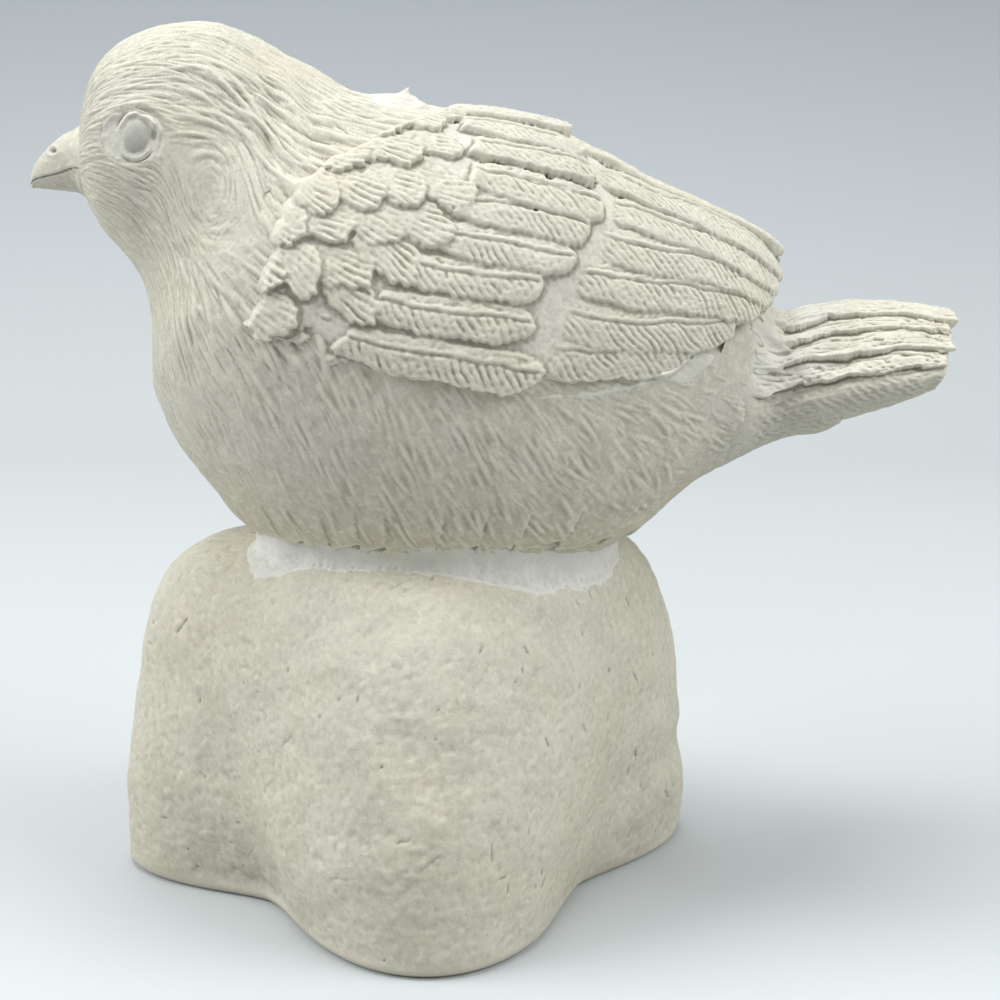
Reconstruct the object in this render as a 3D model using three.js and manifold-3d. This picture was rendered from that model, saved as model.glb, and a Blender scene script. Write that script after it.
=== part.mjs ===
// A cast-resin songbird resting on a boulder, its seams closed with white filler. Millimetres, +Z up.
// The origin is the centre of the boulder's resting face. The bird faces -X and its left side faces -Y.

import * as THREE from 'three';
import { mergeVertices } from 'three/addons/utils/BufferGeometryUtils.js';
import Module from 'manifold-3d';

const wasm = await Module();
wasm.setup();

// Gaps between pieces

const CLEARANCE = 0.3; // left between two pieces that meet
const WELD = 1e-4; // vertices closer than this are one vertex
const SUNK = 0.8; // how far a form is sunk into its neighbour before the neighbour is cut from it
const ROUND_SIDES = 20; // sides of pins, pegs and ovals
const BEAD_SIDES = 14;
const BEAD_BANDS = 9;

// Boulder: an oval core with lobes that lean in towards the top

const ROCK_HEIGHT = 60;
const ROCK_CORE_LENGTH = 70;
const ROCK_CORE_DEPTH = 62;
const ROCK_TOP_FLATNESS = 8; // higher gives a flatter top
const ROCK_WALL_STEEPNESS = 3.6; // higher gives a straighter wall
const ROCK_FOOT_EDGE = 2; // rounding round the resting face
const ROCK_UNDERCUT = 7; // depth of the hollows between the lobes at the foot
const ROCK_UNDERCUT_HEIGHT = 34; // height at which the hollows have run out
const ROCK_LOBES = [
  { bearing: 176, reach: 16, spread: 24, lean: 0.2 },
  { bearing: 277, reach: 12.3, spread: 40, lean: 0.9 },
  { bearing: 24, reach: 17, spread: 28, lean: 0.2 },
  { bearing: 108, reach: 10, spread: 36, lean: 0.5 },
];
const ROCK_SIDES = 38;
const ROCK_LEVELS = 12;

// Bird's body: matched points of the crown line and the keel line, from the beak to the tail root.
// Heights are above the lowest point of the belly, and half is the half width there.

const SEAT_DEPTH = 8.2; // how far the belly lies below the boulder's top
const BODY_STATIONS = [
  { crown: [-52, 75.7], keel: [-51.5, 65.2], half: 5.5 },
  { crown: [-48.5, 86.2], keel: [-49, 59.7], half: 11.5 },
  { crown: [-40.5, 91.2], keel: [-45, 54.7], half: 14.5 },
  { crown: [-30, 92], keel: [-42.5, 49.7], half: 15.8 },
  { crown: [-19, 87], keel: [-41.8, 43.2], half: 18.5 },
  { crown: [-9, 81.5], keel: [-41.4, 32.7], half: 24 },
  { crown: [2, 79.2], keel: [-36, 21.7], half: 28 },
  { crown: [15, 77.4], keel: [-24, 8.7], half: 30 },
  { crown: [27, 73.3], keel: [-6, 1.2], half: 30 },
  { crown: [38, 66.5], keel: [13, 0], half: 27 },
  { crown: [47.5, 60.8], keel: [31, 5.7], half: 22 },
  { crown: [55, 54], keel: [46, 17.2], half: 16.5 },
  { crown: [60, 45.2], keel: [59, 24.5], half: 11.5 },
];
const BODY_FULLNESS = 0.12; // moves the widest part below the middle
const BODY_RINGS = 30;
const BODY_SIDES = 24;
const STATION_STEP = 0.05; // small steps over the body, for slopes and for searches
const ANGLE_STEP = 1;

// Beak: conical, with an arched culmen and a scored mouth line

const BEAK_LENGTH = 9.2;
const BEAK_TIP_HEIGHT = 1.2; // depth of the blunt tip
const BEAK_ARCH = 1.9; // rise of the culmen over a straight line
const BEAK_MOUTH_ANGLE = 108; // mouth line, from the culmen round the side
const BEAK_MOUTH_DEPTH = 0.5;
const BEAK_PEG_DIAMETER = 4;
const BEAK_PEG_LENGTH = 5;
const BEAK_RINGS = 8;

// Eyes: oval beads set in collars of filler

const EYE_STATION = 2.25;
const EYE_ANGLE = 83.5;
const EYE_WIDTH = 4.2;
const EYE_HEIGHT = 5.4;
const EYE_THICKNESS = 4.4;
const EYE_PROUD = 1.1; // how far the bead stands out of the head
const EYE_COLLAR_WIDTH = 10;
const EYE_COLLAR_HEIGHT = 7.8;
const EYE_COLLAR_DEPTH = 2.4;
const EYE_COLLAR_CROWN = 0.25; // how far the collar stands out of the head

// Wings: three tiers of feathers on a thin core. Places on a wing are [station, angle], where the angle
// is measured in degrees from the crown line round the bird's side. Lifts are heights above the body.

const WING_CORE = {
  top: [[5.3, 58], [5.6, 48], [6, 30], [6.6, 13], [7.4, 6], [9, 5], [10.3, 6], [11.1, 14]],
  bottom: [[5.3, 72], [5.6, 87], [6, 92], [6.6, 93], [7.4, 90], [9, 76], [10.3, 67], [11.1, 52]],
  lift: 1.2,
};
const COVERTS = {
  rows: [ // tips of the first and the last scale of a row, and the number of scales
    { first: [6.2, 20], last: [6.55, 14], count: 2 },
    { first: [6.0, 33], last: [6.5, 26], count: 2 },
    { first: [5.9, 46], last: [6.85, 36], count: 3 },
    { first: [5.8, 60], last: [7.2, 48], count: 4 },
    { first: [5.75, 73], last: [7.15, 60], count: 4 },
    { first: [5.75, 86], last: [7.1, 71], count: 4 },
    { first: [6.1, 91], last: [6.9, 82], count: 2 },
  ],
  length: 0.7,
  half: 6.5,
  rootLift: 0.6,
  tipLift: 2.5,
};
const SECONDARIES = {
  count: 9,
  root: [[6.4, 11], [7.0, 38], [7.0, 63], [6.7, 89]],
  tip: [[8.2, 7], [8.65, 32], [8.4, 58], [8.5, 82]],
  half: 6,
  rootLift: 1.2,
  tipLifts: [2.9, 2.2],
};
const PRIMARIES = {
  count: 7,
  root: [[8.2, 9], [8.4, 46], [8.1, 77]],
  tip: [[11.85, 6], [11.5, 22], [11.3, 40], [10.95, 57], [10.2, 71]],
  half: 6.6,
  rootLift: 1.0,
  tipLifts: [8.4, 1.8],
  tipThickness: 1.5, // the tips stand clear of the body
};
const FEATHER_SHAFT = 0.3; // rise of the shaft along a feather's middle
const FEATHER_ROOT_SHARE = 0.72; // width at the root as a share of the greatest
const FEATHER_ROUNDING = 0.2; // share of the length over which the tip rounds off
const FEATHER_TIP_SHARE = 0.25; // width of the blunt tip as a share of the greatest
const FEATHER_STEPS = 4;
const COVERT_STEPS = 2;
const TAIL_STEPS = 5;
const WING_CORE_STEPS = 8;
const WING_CORE_SHARES = [0, 0.25, 0.5, 0.75, 1];

// Tail: a roof of feathers that fan out on a core, with a peg into the body

const TAIL_LENGTH = 29.5;
const TAIL_FLARE = 3.5; // growth of the half width from root to end
const TAIL_RISE = 1.2; // height of the middle feather over the body's crown line at the root
const TAIL_KEEL_RISE = 10; // climb of the underside from root to end
const TAIL_ARCH = 1.2; // rise of each feather at mid length over a straight line
const TAIL_ROOF = 2.2; // how far the core lies inside the feathers
const TAIL_PAIRS = 4; // feathers on each side of the middle one
const TAIL_SPREAD = 3.1; // sideways step from one feather to the next
const TAIL_DROP = 2.3; // downward step from one feather to the next
const TAIL_ROLL = 15; // turn of each feather about its shaft, degrees a step
const TAIL_FAN = 1.6; // turn of each feather away from the middle, degrees a step
const TAIL_FEATHER_HALF = 3.5;
const TAIL_FEATHER_THICKNESS = 1.4;
const TAIL_FEATHER_ROOT = 6; // thickness where a feather leaves the core
const TAIL_STAGGER = 1.2; // each feather is shorter than the last
const TAIL_CORE_SHARES = [0, 0.25, 0.5, 0.75, 1];
const TAIL_PEG_DIAMETER = 8;
const TAIL_PEG_LENGTH = 9;
const UNDERTAIL_LENGTH = 11.5;
const UNDERTAIL_HALF = 7;
const UNDERTAIL_THICKNESS = 3;
const UNDERTAIL_RISE = 2.7; // climb from root to end

// Filler beads

const BELLY_BEAD_WIDTH = 3.2; // thickness outside the belly
const BELLY_BEAD_HEIGHT = 4; // climb up the belly
const BELLY_BEAD_SIDES = 28;
const WING_BEAD = { margin: 0.15, gap: 1.6, width: 4, lift: 1.3, steps: 8 };
const TAIL_BEAD = { from: 11.5, to: 11.94, reach: 84, lift: 1.4, steps: 20 };
const NAPE_BEAD = { station: 5.65, length: 6, width: 6, height: 1.3, burr: 1.4, burrOffset: 1.2 };

// Pins that carry the bird on the boulder

const PIN_DIAMETER = 6;
const PIN_LENGTH = 24;
const PINS = { front_pin: -7, rear_pin: 16 };

// Finishes

const RESIN = { color: 0xdad8c9, roughness: 0.75, metalness: 0 };
const RESIN_ROCK = { color: 0xd2d0bf, roughness: 0.8, metalness: 0 };
const FILLER = { color: 0xe9e9e4, roughness: 0.85, metalness: 0 };
const EYE_RESIN = { color: 0xc4c5bb, roughness: 0.55, metalness: 0 };
const STEEL = { color: 0x8d9094, roughness: 0.35, metalness: 1 };

const { degToRad, lerp, mapLinear, euclideanModulo } = THREE.MathUtils;
const LEFT = 1;
const RIGHT = -1;

// Solids

function facingOut(geometry) {
  const position = geometry.attributes.position;
  const index = geometry.index.array;
  const [a, b, c] = [new THREE.Vector3(), new THREE.Vector3(), new THREE.Vector3()];
  let volume = 0;
  for (let i = 0; i < index.length; i += 3) {
    a.fromBufferAttribute(position, index[i]);
    b.fromBufferAttribute(position, index[i + 1]);
    c.fromBufferAttribute(position, index[i + 2]);
    volume += a.dot(b.cross(c));
  }
  if (volume < 0) index.reverse();
  return geometry;
}

function meshOf(points, triangles) {
  const geometry = new THREE.BufferGeometry().setFromPoints(points);
  geometry.setIndex(triangles);
  return facingOut(geometry);
}

// Skins a row of rings that have the same number of points. An open row gets flat ends.
function loft(rings, closed = false) {
  const sides = rings[0].length;
  const points = rings.flat();
  const triangles = [];
  const bands = closed ? rings.length : rings.length - 1;
  for (let band = 0; band < bands; band += 1) {
    const here = band * sides;
    const next = ((band + 1) % rings.length) * sides;
    for (let side = 0; side < sides; side += 1) {
      const over = (side + 1) % sides;
      triangles.push(here + side, here + over, next + side);
      triangles.push(next + side, here + over, next + over);
    }
  }
  if (closed) return meshOf(points, triangles);
  for (const [ring, turn] of [[0, true], [rings.length - 1, false]]) {
    const centre = rings[ring].reduce((sum, point) => sum.add(point), new THREE.Vector3());
    points.push(centre.divideScalar(sides));
    for (let side = 0; side < sides; side += 1) {
      const one = ring * sides + side;
      const two = ring * sides + ((side + 1) % sides);
      triangles.push(points.length - 1, turn ? two : one, turn ? one : two);
    }
  }
  return meshOf(points, triangles);
}

function solidOf(geometry) {
  const bare = geometry.clone();
  bare.deleteAttribute('normal');
  bare.deleteAttribute('uv');
  const merged = mergeVertices(bare, WELD);
  const triangles = [];
  for (let i = 0; i < merged.index.count; i += 3) {
    const [a, b, c] = merged.index.array.slice(i, i + 3);
    if (a !== b && b !== c && c !== a) triangles.push(a, b, c);
  }
  const vertProperties = Float32Array.from(merged.attributes.position.array);
  const triVerts = Uint32Array.from(triangles);
  return new wasm.Manifold(new wasm.Mesh({ numProp: 3, vertProperties, triVerts }));
}

function geometryOf(solid) {
  const { vertProperties, triVerts } = solid.getMesh();
  const geometry = new THREE.BufferGeometry();
  geometry.setAttribute('position', new THREE.BufferAttribute(vertProperties, 3));
  geometry.setIndex(new THREE.BufferAttribute(triVerts, 1));
  geometry.computeVertexNormals();
  return geometry;
}

const joined = (geometries) => geometries.map(solidOf).reduce((whole, solid) => whole.add(solid));
const cut = (solid, tools) => tools.reduce((rest, tool) => rest.subtract(tool), solid);

// Fills the small sealed pockets that are left between forms that overlap.
function filled(solid) {
  const shells = solid.decompose().filter((shell) => shell.volume() > 0);
  return shells.reduce((whole, shell) => whole.add(shell));
}

function piece(name, geometry, finish) {
  const mesh = new THREE.Mesh(geometry, new THREE.MeshStandardMaterial(finish));
  mesh.name = name;
  return mesh;
}

function pegAlongX(diameter, from, to, height) {
  const geometry = new THREE.CylinderGeometry(diameter / 2, diameter / 2, Math.abs(to - from), ROUND_SIDES);
  geometry.rotateZ(Math.PI / 2);
  return geometry.translate((from + to) / 2, 0, height);
}

// Boulder

function rockRadius(bearing, height) {
  const ahead = Math.cos(bearing) / (ROCK_CORE_LENGTH / 2);
  const aside = Math.sin(bearing) / (ROCK_CORE_DEPTH / 2);
  const lean = (height / ROCK_HEIGHT) ** 2;
  const hollow = ROCK_UNDERCUT * Math.max(0, 1 - height / ROCK_UNDERCUT_HEIGHT) ** 2;
  let radius = 1 / Math.hypot(ahead, aside);
  let ridge = 0;
  for (const lobe of ROCK_LOBES) {
    const away = euclideanModulo(bearing - degToRad(lobe.bearing) + Math.PI, 2 * Math.PI) - Math.PI;
    const swell = Math.exp(-((away / degToRad(lobe.spread)) ** 2));
    radius += lobe.reach * swell * (1 - lobe.lean * lean);
    ridge = Math.max(ridge, swell);
  }
  return radius - hollow * (1 - ridge);
}

function rockRing(height, scale, grow) {
  return Array.from({ length: ROCK_SIDES }, (_, side) => {
    const bearing = (side / ROCK_SIDES) * 2 * Math.PI;
    const radius = rockRadius(bearing, height) * scale + grow;
    return new THREE.Vector3(Math.cos(bearing) * radius, Math.sin(bearing) * radius, height);
  });
}

function rockForm(grow = 0) {
  const rings = [rockRing(0, 1, grow - ROCK_FOOT_EDGE), rockRing(ROCK_FOOT_EDGE, 1, grow)];
  for (let level = 1; level < ROCK_LEVELS; level += 1) {
    const turn = (level / ROCK_LEVELS) * (Math.PI / 2);
    const height = ROCK_HEIGHT * Math.sin(turn) ** (2 / ROCK_WALL_STEEPNESS);
    const ring = rockRing(height, Math.cos(turn) ** (2 / ROCK_TOP_FLATNESS), grow);
    rings.push(ring.map((point) => point.setZ(point.z + grow * Math.sin(turn))));
  }
  return loft(rings);
}

// Bird's body

const lastStation = BODY_STATIONS.length - 1;
const crownRail = new THREE.CatmullRomCurve3(
  BODY_STATIONS.map(({ crown, half }) => new THREE.Vector3(crown[0], half, crown[1])),
  false,
  'catmullrom',
);
const keelRail = new THREE.CatmullRomCurve3(
  BODY_STATIONS.map(({ keel }) => new THREE.Vector3(keel[0], 0, keel[1])),
  false,
  'catmullrom',
);

// A point of a body-like section, from its crown and keel points, its half width and an angle in degrees.
function sectionPoint(crown, keel, half, angle, lift, fullness) {
  const upright = crown.clone().sub(keel);
  const tall = upright.length() / 2;
  const cosine = Math.cos(degToRad(angle));
  const across = -(half + lift) * Math.sin(degToRad(angle)) * (1 - fullness * cosine);
  const point = crown.clone().add(keel).multiplyScalar(0.5);
  return point.addScaledVector(upright.normalize(), (tall + lift) * cosine).setY(across);
}

function bodyPoint(station, angle, lift = 0) {
  const along = station / lastStation;
  const crown = crownRail.getPoint(along);
  const half = crown.y;
  return sectionPoint(crown.setY(0), keelRail.getPoint(along), half, angle, lift, BODY_FULLNESS);
}

function bodyForm(grow = 0) {
  const rings = [];
  for (let ring = 0; ring <= BODY_RINGS; ring += 1) {
    const station = (ring / BODY_RINGS) * lastStation;
    const turn = 360 / BODY_SIDES;
    rings.push(Array.from({ length: BODY_SIDES }, (_, side) => bodyPoint(station, side * turn, grow)));
  }
  return loft(rings);
}

// The flat end of the body at a station: its middle, in the bird's own frame.
function bodyEnd(station) {
  return bodyPoint(station, 0).add(bodyPoint(station, 180)).multiplyScalar(0.5);
}

// Beak

function beakForm() {
  const crownRoot = bodyPoint(0, 0);
  const keelRoot = bodyPoint(0, 180);
  const half = bodyPoint(0, -90).y;
  const tipKeel = keelRoot.clone().add(new THREE.Vector3(-BEAK_LENGTH, 0, BEAK_TIP_HEIGHT / 2));
  const tipCrown = tipKeel.clone().add(new THREE.Vector3(0, 0, BEAK_TIP_HEIGHT));
  const rings = [];
  for (let ring = 0; ring <= BEAK_RINGS; ring += 1) {
    const along = ring / BEAK_RINGS;
    const crown = crownRoot.clone().lerp(tipCrown, along);
    const keel = keelRoot.clone().lerp(tipKeel, along);
    crown.z += BEAK_ARCH * 4 * along * (1 - along);
    const width = lerp(half, BEAK_TIP_HEIGHT / 2, Math.sqrt(along) * along);
    rings.push(Array.from({ length: ROUND_SIDES }, (_, side) => {
      const angle = (side / ROUND_SIDES) * 360;
      const fromTop = Math.min(angle, 360 - angle);
      const scored = Math.abs(fromTop - BEAK_MOUTH_ANGLE) < 180 / ROUND_SIDES;
      const lift = scored ? -BEAK_MOUTH_DEPTH * (width / half) : 0;
      const reach = lerp(crown.x, keel.x, fromTop / 180) - CLEARANCE;
      return sectionPoint(crown, keel, width, angle, lift, 0).setX(reach);
    }));
  }
  const middle = bodyEnd(0);
  const root = middle.x - CLEARANCE - SUNK;
  return joined([loft(rings), pegAlongX(BEAK_PEG_DIAMETER, root, middle.x + BEAK_PEG_LENGTH, middle.z)]);
}

// Eyes

// The frame of an eye: origin on the head, X towards the tail, Y up and Z out of the head.
function eyeFrame(side) {
  const nearStation = EYE_STATION + STATION_STEP;
  const nearAngle = EYE_ANGLE - ANGLE_STEP;
  const origin = bodyPoint(EYE_STATION, side * EYE_ANGLE);
  const back = bodyPoint(nearStation, side * EYE_ANGLE).sub(origin).normalize();
  const up = bodyPoint(EYE_STATION, side * nearAngle).sub(origin).normalize();
  const out = back.clone().cross(up).normalize().multiplyScalar(side);
  const right = up.clone().cross(out).normalize();
  return new THREE.Matrix4().makeBasis(right, out.clone().cross(right), out).setPosition(origin);
}

function oval(width, height, level) {
  return Array.from({ length: ROUND_SIDES }, (_, side) => {
    const turn = (side / ROUND_SIDES) * 2 * Math.PI;
    return new THREE.Vector3((Math.cos(turn) * width) / 2, (Math.sin(turn) * height) / 2, level);
  });
}

function eyeForm(grow = 0) {
  const bead = new THREE.SphereGeometry(0.5, BEAD_SIDES, BEAD_BANDS);
  bead.scale(EYE_WIDTH + 2 * grow, EYE_HEIGHT + 2 * grow, EYE_THICKNESS + 2 * grow);
  return bead.translate(0, 0, EYE_PROUD - EYE_THICKNESS / 2);
}

function collarForm() {
  const gap = 2 * CLEARANCE;
  const rim = lerp(EYE_COLLAR_WIDTH, EYE_WIDTH, 0.5);
  const rimHeight = lerp(EYE_COLLAR_HEIGHT, EYE_HEIGHT, 0.5);
  const bands = [
    oval(EYE_WIDTH + gap, EYE_HEIGHT + gap, -EYE_COLLAR_DEPTH),
    oval(EYE_COLLAR_WIDTH, EYE_COLLAR_HEIGHT, -EYE_COLLAR_DEPTH),
    oval(EYE_COLLAR_WIDTH, EYE_COLLAR_HEIGHT, -EYE_COLLAR_CROWN * 2),
    oval(rim, rimHeight, EYE_COLLAR_CROWN),
    oval(EYE_WIDTH + gap, EYE_HEIGHT + gap, 0),
  ];
  return loft(bands, true);
}

function eyeSocket(side) {
  const gap = 2 * CLEARANCE;
  const width = EYE_COLLAR_WIDTH + gap;
  const height = EYE_COLLAR_HEIGHT + gap;
  const floor = -EYE_COLLAR_DEPTH - CLEARANCE;
  const dish = loft([oval(width, height, floor), oval(width, height, EYE_PROUD)]);
  return joined([dish, eyeForm(CLEARANCE)].map((form) => form.applyMatrix4(eyeFrame(side))));
}

// Feathers

const LEAF_TOP = [-1, 0, 1];
const LEAF_BOTTOM = [1, -1];

// Half width along a feather as a share of its greatest: it swells from the root and rounds off at the tip.
function leafWidth(along) {
  const grown = Math.min(1, along / (1 - FEATHER_ROUNDING));
  const swell = lerp(FEATHER_ROOT_SHARE, 1, Math.sin(grown * (Math.PI / 2)));
  const rounding = Math.max(0, along - 1 + FEATHER_ROUNDING) / FEATHER_ROUNDING;
  return swell * Math.max(FEATHER_TIP_SHARE, Math.sqrt(1 - rounding ** 2));
}

// A closed feather. place(along, across, lift) gives a point, with along from 0 to 1 and across from -1 to 1.
function leaf(place, steps, topLift, bottomLift) {
  const rings = [];
  for (let step = 0; step <= steps; step += 1) {
    const along = Math.sin((step / steps) * (Math.PI / 2));
    const width = leafWidth(along);
    const top = LEAF_TOP.map((across) => {
      return place(along, across * width, topLift(along) + FEATHER_SHAFT * (1 - Math.abs(across)));
    });
    const bottom = LEAF_BOTTOM.map((across) => place(along, across * width, bottomLift(along)));
    rings.push([...top, ...bottom]);
  }
  return loft(rings);
}

function placesAlong(points) {
  return new THREE.CatmullRomCurve3(points.map(([station, angle]) => new THREE.Vector3(station, angle, 0)));
}

function wingFeather(side, root, tip, tier, tipLift, steps) {
  const place = (along, across, lift) => {
    const station = lerp(root.x, tip.x, along);
    const angle = lerp(root.y, tip.y, along) + across * tier.half;
    return bodyPoint(station, side * angle, lift);
  };
  const topLift = (along) => lerp(tier.rootLift, tipLift, along * along);
  const tipBottom = tier.tipThickness ? tipLift - tier.tipThickness : -SUNK;
  const bottomLift = (along) => lerp(-SUNK, tipBottom, along ** 4);
  return leaf(place, steps, topLift, bottomLift);
}

function featherTier(side, tier) {
  const roots = placesAlong(tier.root);
  const tips = placesAlong(tier.tip);
  return Array.from({ length: tier.count }, (_, feather) => {
    const share = feather / (tier.count - 1);
    const tipLift = lerp(tier.tipLifts[0], tier.tipLifts[1], Math.sqrt(share));
    return wingFeather(side, roots.getPoint(share), tips.getPoint(share), tier, tipLift, FEATHER_STEPS);
  });
}

function covertScales(side) {
  return COVERTS.rows.flatMap(({ first, last, count }) => {
    const tips = placesAlong([first, last]);
    return Array.from({ length: count }, (_, scale) => {
      const tip = tips.getPoint(scale / (count - 1));
      const root = new THREE.Vector3(tip.x - COVERTS.length, tip.y, 0);
      return wingFeather(side, root, tip, COVERTS, COVERTS.tipLift, COVERT_STEPS);
    });
  });
}

function wingCore(side) {
  const top = placesAlong(WING_CORE.top);
  const bottom = placesAlong(WING_CORE.bottom);
  const rings = [];
  for (let step = 0; step <= WING_CORE_STEPS; step += 1) {
    const upper = top.getPoint(step / WING_CORE_STEPS);
    const lower = bottom.getPoint(step / WING_CORE_STEPS);
    const point = (share, lift) => {
      const spot = upper.clone().lerp(lower, share);
      return bodyPoint(spot.x, side * spot.y, lift);
    };
    const outside = WING_CORE_SHARES.map((share) => point(share, WING_CORE.lift));
    const inside = WING_CORE_SHARES.toReversed().map((share) => point(share, -SUNK));
    rings.push([...outside, ...inside]);
  }
  return loft(rings);
}

function wingForm(side, body) {
  const flight = [...featherTier(side, SECONDARIES), ...featherTier(side, PRIMARIES)];
  return filled(cut(joined([wingCore(side), ...covertScales(side), ...flight]), [body]));
}

// Tail

function tailRing(along, inset) {
  const crownRoot = bodyPoint(lastStation, 0);
  const keelRoot = bodyPoint(lastStation, 180);
  const half = -bodyPoint(lastStation, 90).y;
  const reach = CLEARANCE + along * (TAIL_LENGTH - 2 * inset);
  const arch = TAIL_ARCH * 4 * along * (1 - along);
  const crown = crownRoot.clone().add(new THREE.Vector3(reach, 0, arch - inset * Math.sqrt(along)));
  const keel = keelRoot.clone().add(new THREE.Vector3(reach, 0, TAIL_KEEL_RISE * along));
  const width = half + TAIL_FLARE * along - inset * Math.sqrt(along);
  const turn = 360 / ROUND_SIDES;
  return Array.from({ length: ROUND_SIDES }, (_, side) => {
    return sectionPoint(crown, keel, width, side * turn, 0, BODY_FULLNESS);
  });
}

function tailFeather(rank) {
  const away = Math.abs(rank);
  const outer = Math.sign(rank);
  const root = bodyPoint(lastStation, 0);
  root.add(new THREE.Vector3(SUNK, -rank * TAIL_SPREAD, TAIL_RISE - away * TAIL_DROP));
  const roll = degToRad(TAIL_ROLL * away);
  const fan = degToRad(TAIL_FAN * away);
  const ahead = new THREE.Vector3(Math.cos(fan), -outer * Math.sin(fan), 0);
  const sideways = new THREE.Vector3(0, -Math.cos(roll), -outer * Math.sin(roll));
  const outward = new THREE.Vector3(0, -outer * Math.sin(roll), Math.cos(roll));
  const length = TAIL_LENGTH - TAIL_STAGGER * away;
  const place = (along, across, lift) => root.clone()
    .addScaledVector(ahead, along * length)
    .addScaledVector(sideways, across * TAIL_FEATHER_HALF)
    .addScaledVector(outward, lift + TAIL_ARCH * 4 * along * (1 - along));
  return leaf(place, TAIL_STEPS, () => 0, (along) => -lerp(TAIL_FEATHER_ROOT, TAIL_FEATHER_THICKNESS, along));
}

function undertail() {
  const root = bodyPoint(lastStation, 180);
  const length = UNDERTAIL_LENGTH - CLEARANCE;
  const place = (along, across, lift) => root.clone().add(new THREE.Vector3(
    CLEARANCE + along * length,
    across * UNDERTAIL_HALF,
    along * UNDERTAIL_RISE + lift,
  ));
  return leaf(place, FEATHER_STEPS, () => UNDERTAIL_THICKNESS, () => 0);
}

function tailForm() {
  const core = loft(TAIL_CORE_SHARES.map((along) => tailRing(along, TAIL_ROOF)));
  const feathers = Array.from({ length: 2 * TAIL_PAIRS + 1 }, (_, index) => tailFeather(index - TAIL_PAIRS));
  const middle = bodyEnd(lastStation);
  const peg = pegAlongX(TAIL_PEG_DIAMETER, middle.x - TAIL_PEG_LENGTH, middle.x + CLEARANCE + SUNK, middle.z);
  return filled(joined([core, ...feathers, undertail(), peg]));
}

// Filler beads

// The box round the part of the belly that lies below a height.
function bellyBox(height) {
  const box = new THREE.Box3();
  for (let station = 0; station <= lastStation; station += STATION_STEP) {
    for (let angle = 90; angle <= 270; angle += ANGLE_STEP) {
      const point = bodyPoint(station, angle);
      if (point.z < height) box.expandByPoint(point);
    }
  }
  return box;
}

function bellyBead(body, rock) {
  const waist = bellyBox(SEAT_DEPTH);
  const middle = waist.getCenter(new THREE.Vector3());
  const size = waist.getSize(new THREE.Vector3());
  const outline = (grow, height) => Array.from({ length: BELLY_BEAD_SIDES }, (_, side) => {
    const turn = (side / BELLY_BEAD_SIDES) * 2 * Math.PI;
    const length = size.x / 2 + grow;
    const width = size.y / 2 + grow;
    return new THREE.Vector3(middle.x + Math.cos(turn) * length, Math.sin(turn) * width, SEAT_DEPTH + height);
  });
  const collar = loft([
    outline(BELLY_BEAD_WIDTH, -BELLY_BEAD_HEIGHT),
    outline(BELLY_BEAD_WIDTH, 0),
    outline(BELLY_BEAD_WIDTH / 2, BELLY_BEAD_HEIGHT / 2),
    outline(-BELLY_BEAD_WIDTH / 2, BELLY_BEAD_HEIGHT),
  ]);
  return cut(solidOf(collar).intersect(solidOf(bodyForm(BELLY_BEAD_WIDTH))), [body, rock]);
}

// A strip of filler on the body, below the lowest primary and behind the lowest secondary.
function wingBead(side, body) {
  const root = placesAlong(PRIMARIES.root).getPoint(1);
  const tip = placesAlong(PRIMARIES.tip).getPoint(1);
  const from = placesAlong(SECONDARIES.tip).getPoint(1).x + WING_BEAD.margin;
  const to = tip.x - WING_BEAD.margin;
  const rings = [];
  for (let step = 0; step <= WING_BEAD.steps; step += 1) {
    const station = lerp(from, to, step / WING_BEAD.steps);
    const start = mapLinear(station, root.x, tip.x, root.y, tip.y) + PRIMARIES.half + WING_BEAD.gap;
    const point = (share, lift) => bodyPoint(station, side * (start + share * WING_BEAD.width), lift);
    rings.push([point(0, WING_BEAD.lift), point(1, WING_BEAD.lift / 2), point(1, -SUNK), point(0, -SUNK)]);
  }
  return cut(solidOf(loft(rings)), [body]);
}

// A saddle of filler over the rump, close to the tail's root.
function tailBead(body) {
  const { from, to, reach, lift, steps } = TAIL_BEAD;
  const rings = [];
  for (let step = 0; step <= steps; step += 1) {
    const angle = lerp(-reach, reach, step / steps);
    const point = (share, height) => bodyPoint(lerp(from, to, share), angle, height);
    rings.push([point(0, -SUNK), point(0, lift / 2), point(0.5, lift), point(1, lift), point(1, -SUNK)]);
  }
  return cut(solidOf(loft(rings)), [body]);
}

function napeBead(body) {
  const { station, length, width, height, burr, burrOffset } = NAPE_BEAD;
  const spot = bodyPoint(station, 0);
  const dome = new THREE.SphereGeometry(0.5, BEAD_SIDES, BEAD_BANDS);
  dome.scale(length, width, 2 * height).translate(spot.x, spot.y, spot.z);
  const spike = new THREE.ConeGeometry(burr / 2, burr, BEAD_BANDS);
  spike.rotateX(Math.PI / 2).translate(spot.x + burrOffset, spot.y, spot.z + height);
  return cut(joined([dome, spike]), [body]);
}

// Pins

function pinForm(offset, grow = 0) {
  const radius = PIN_DIAMETER / 2 + grow;
  const pin = new THREE.CylinderGeometry(radius, radius, PIN_LENGTH + 2 * grow, ROUND_SIDES);
  return pin.rotateX(Math.PI / 2).translate(offset, 0, 0);
}

// Assembly: the bird's group stands on the belly's lowest point, inside the boulder's seat

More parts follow.
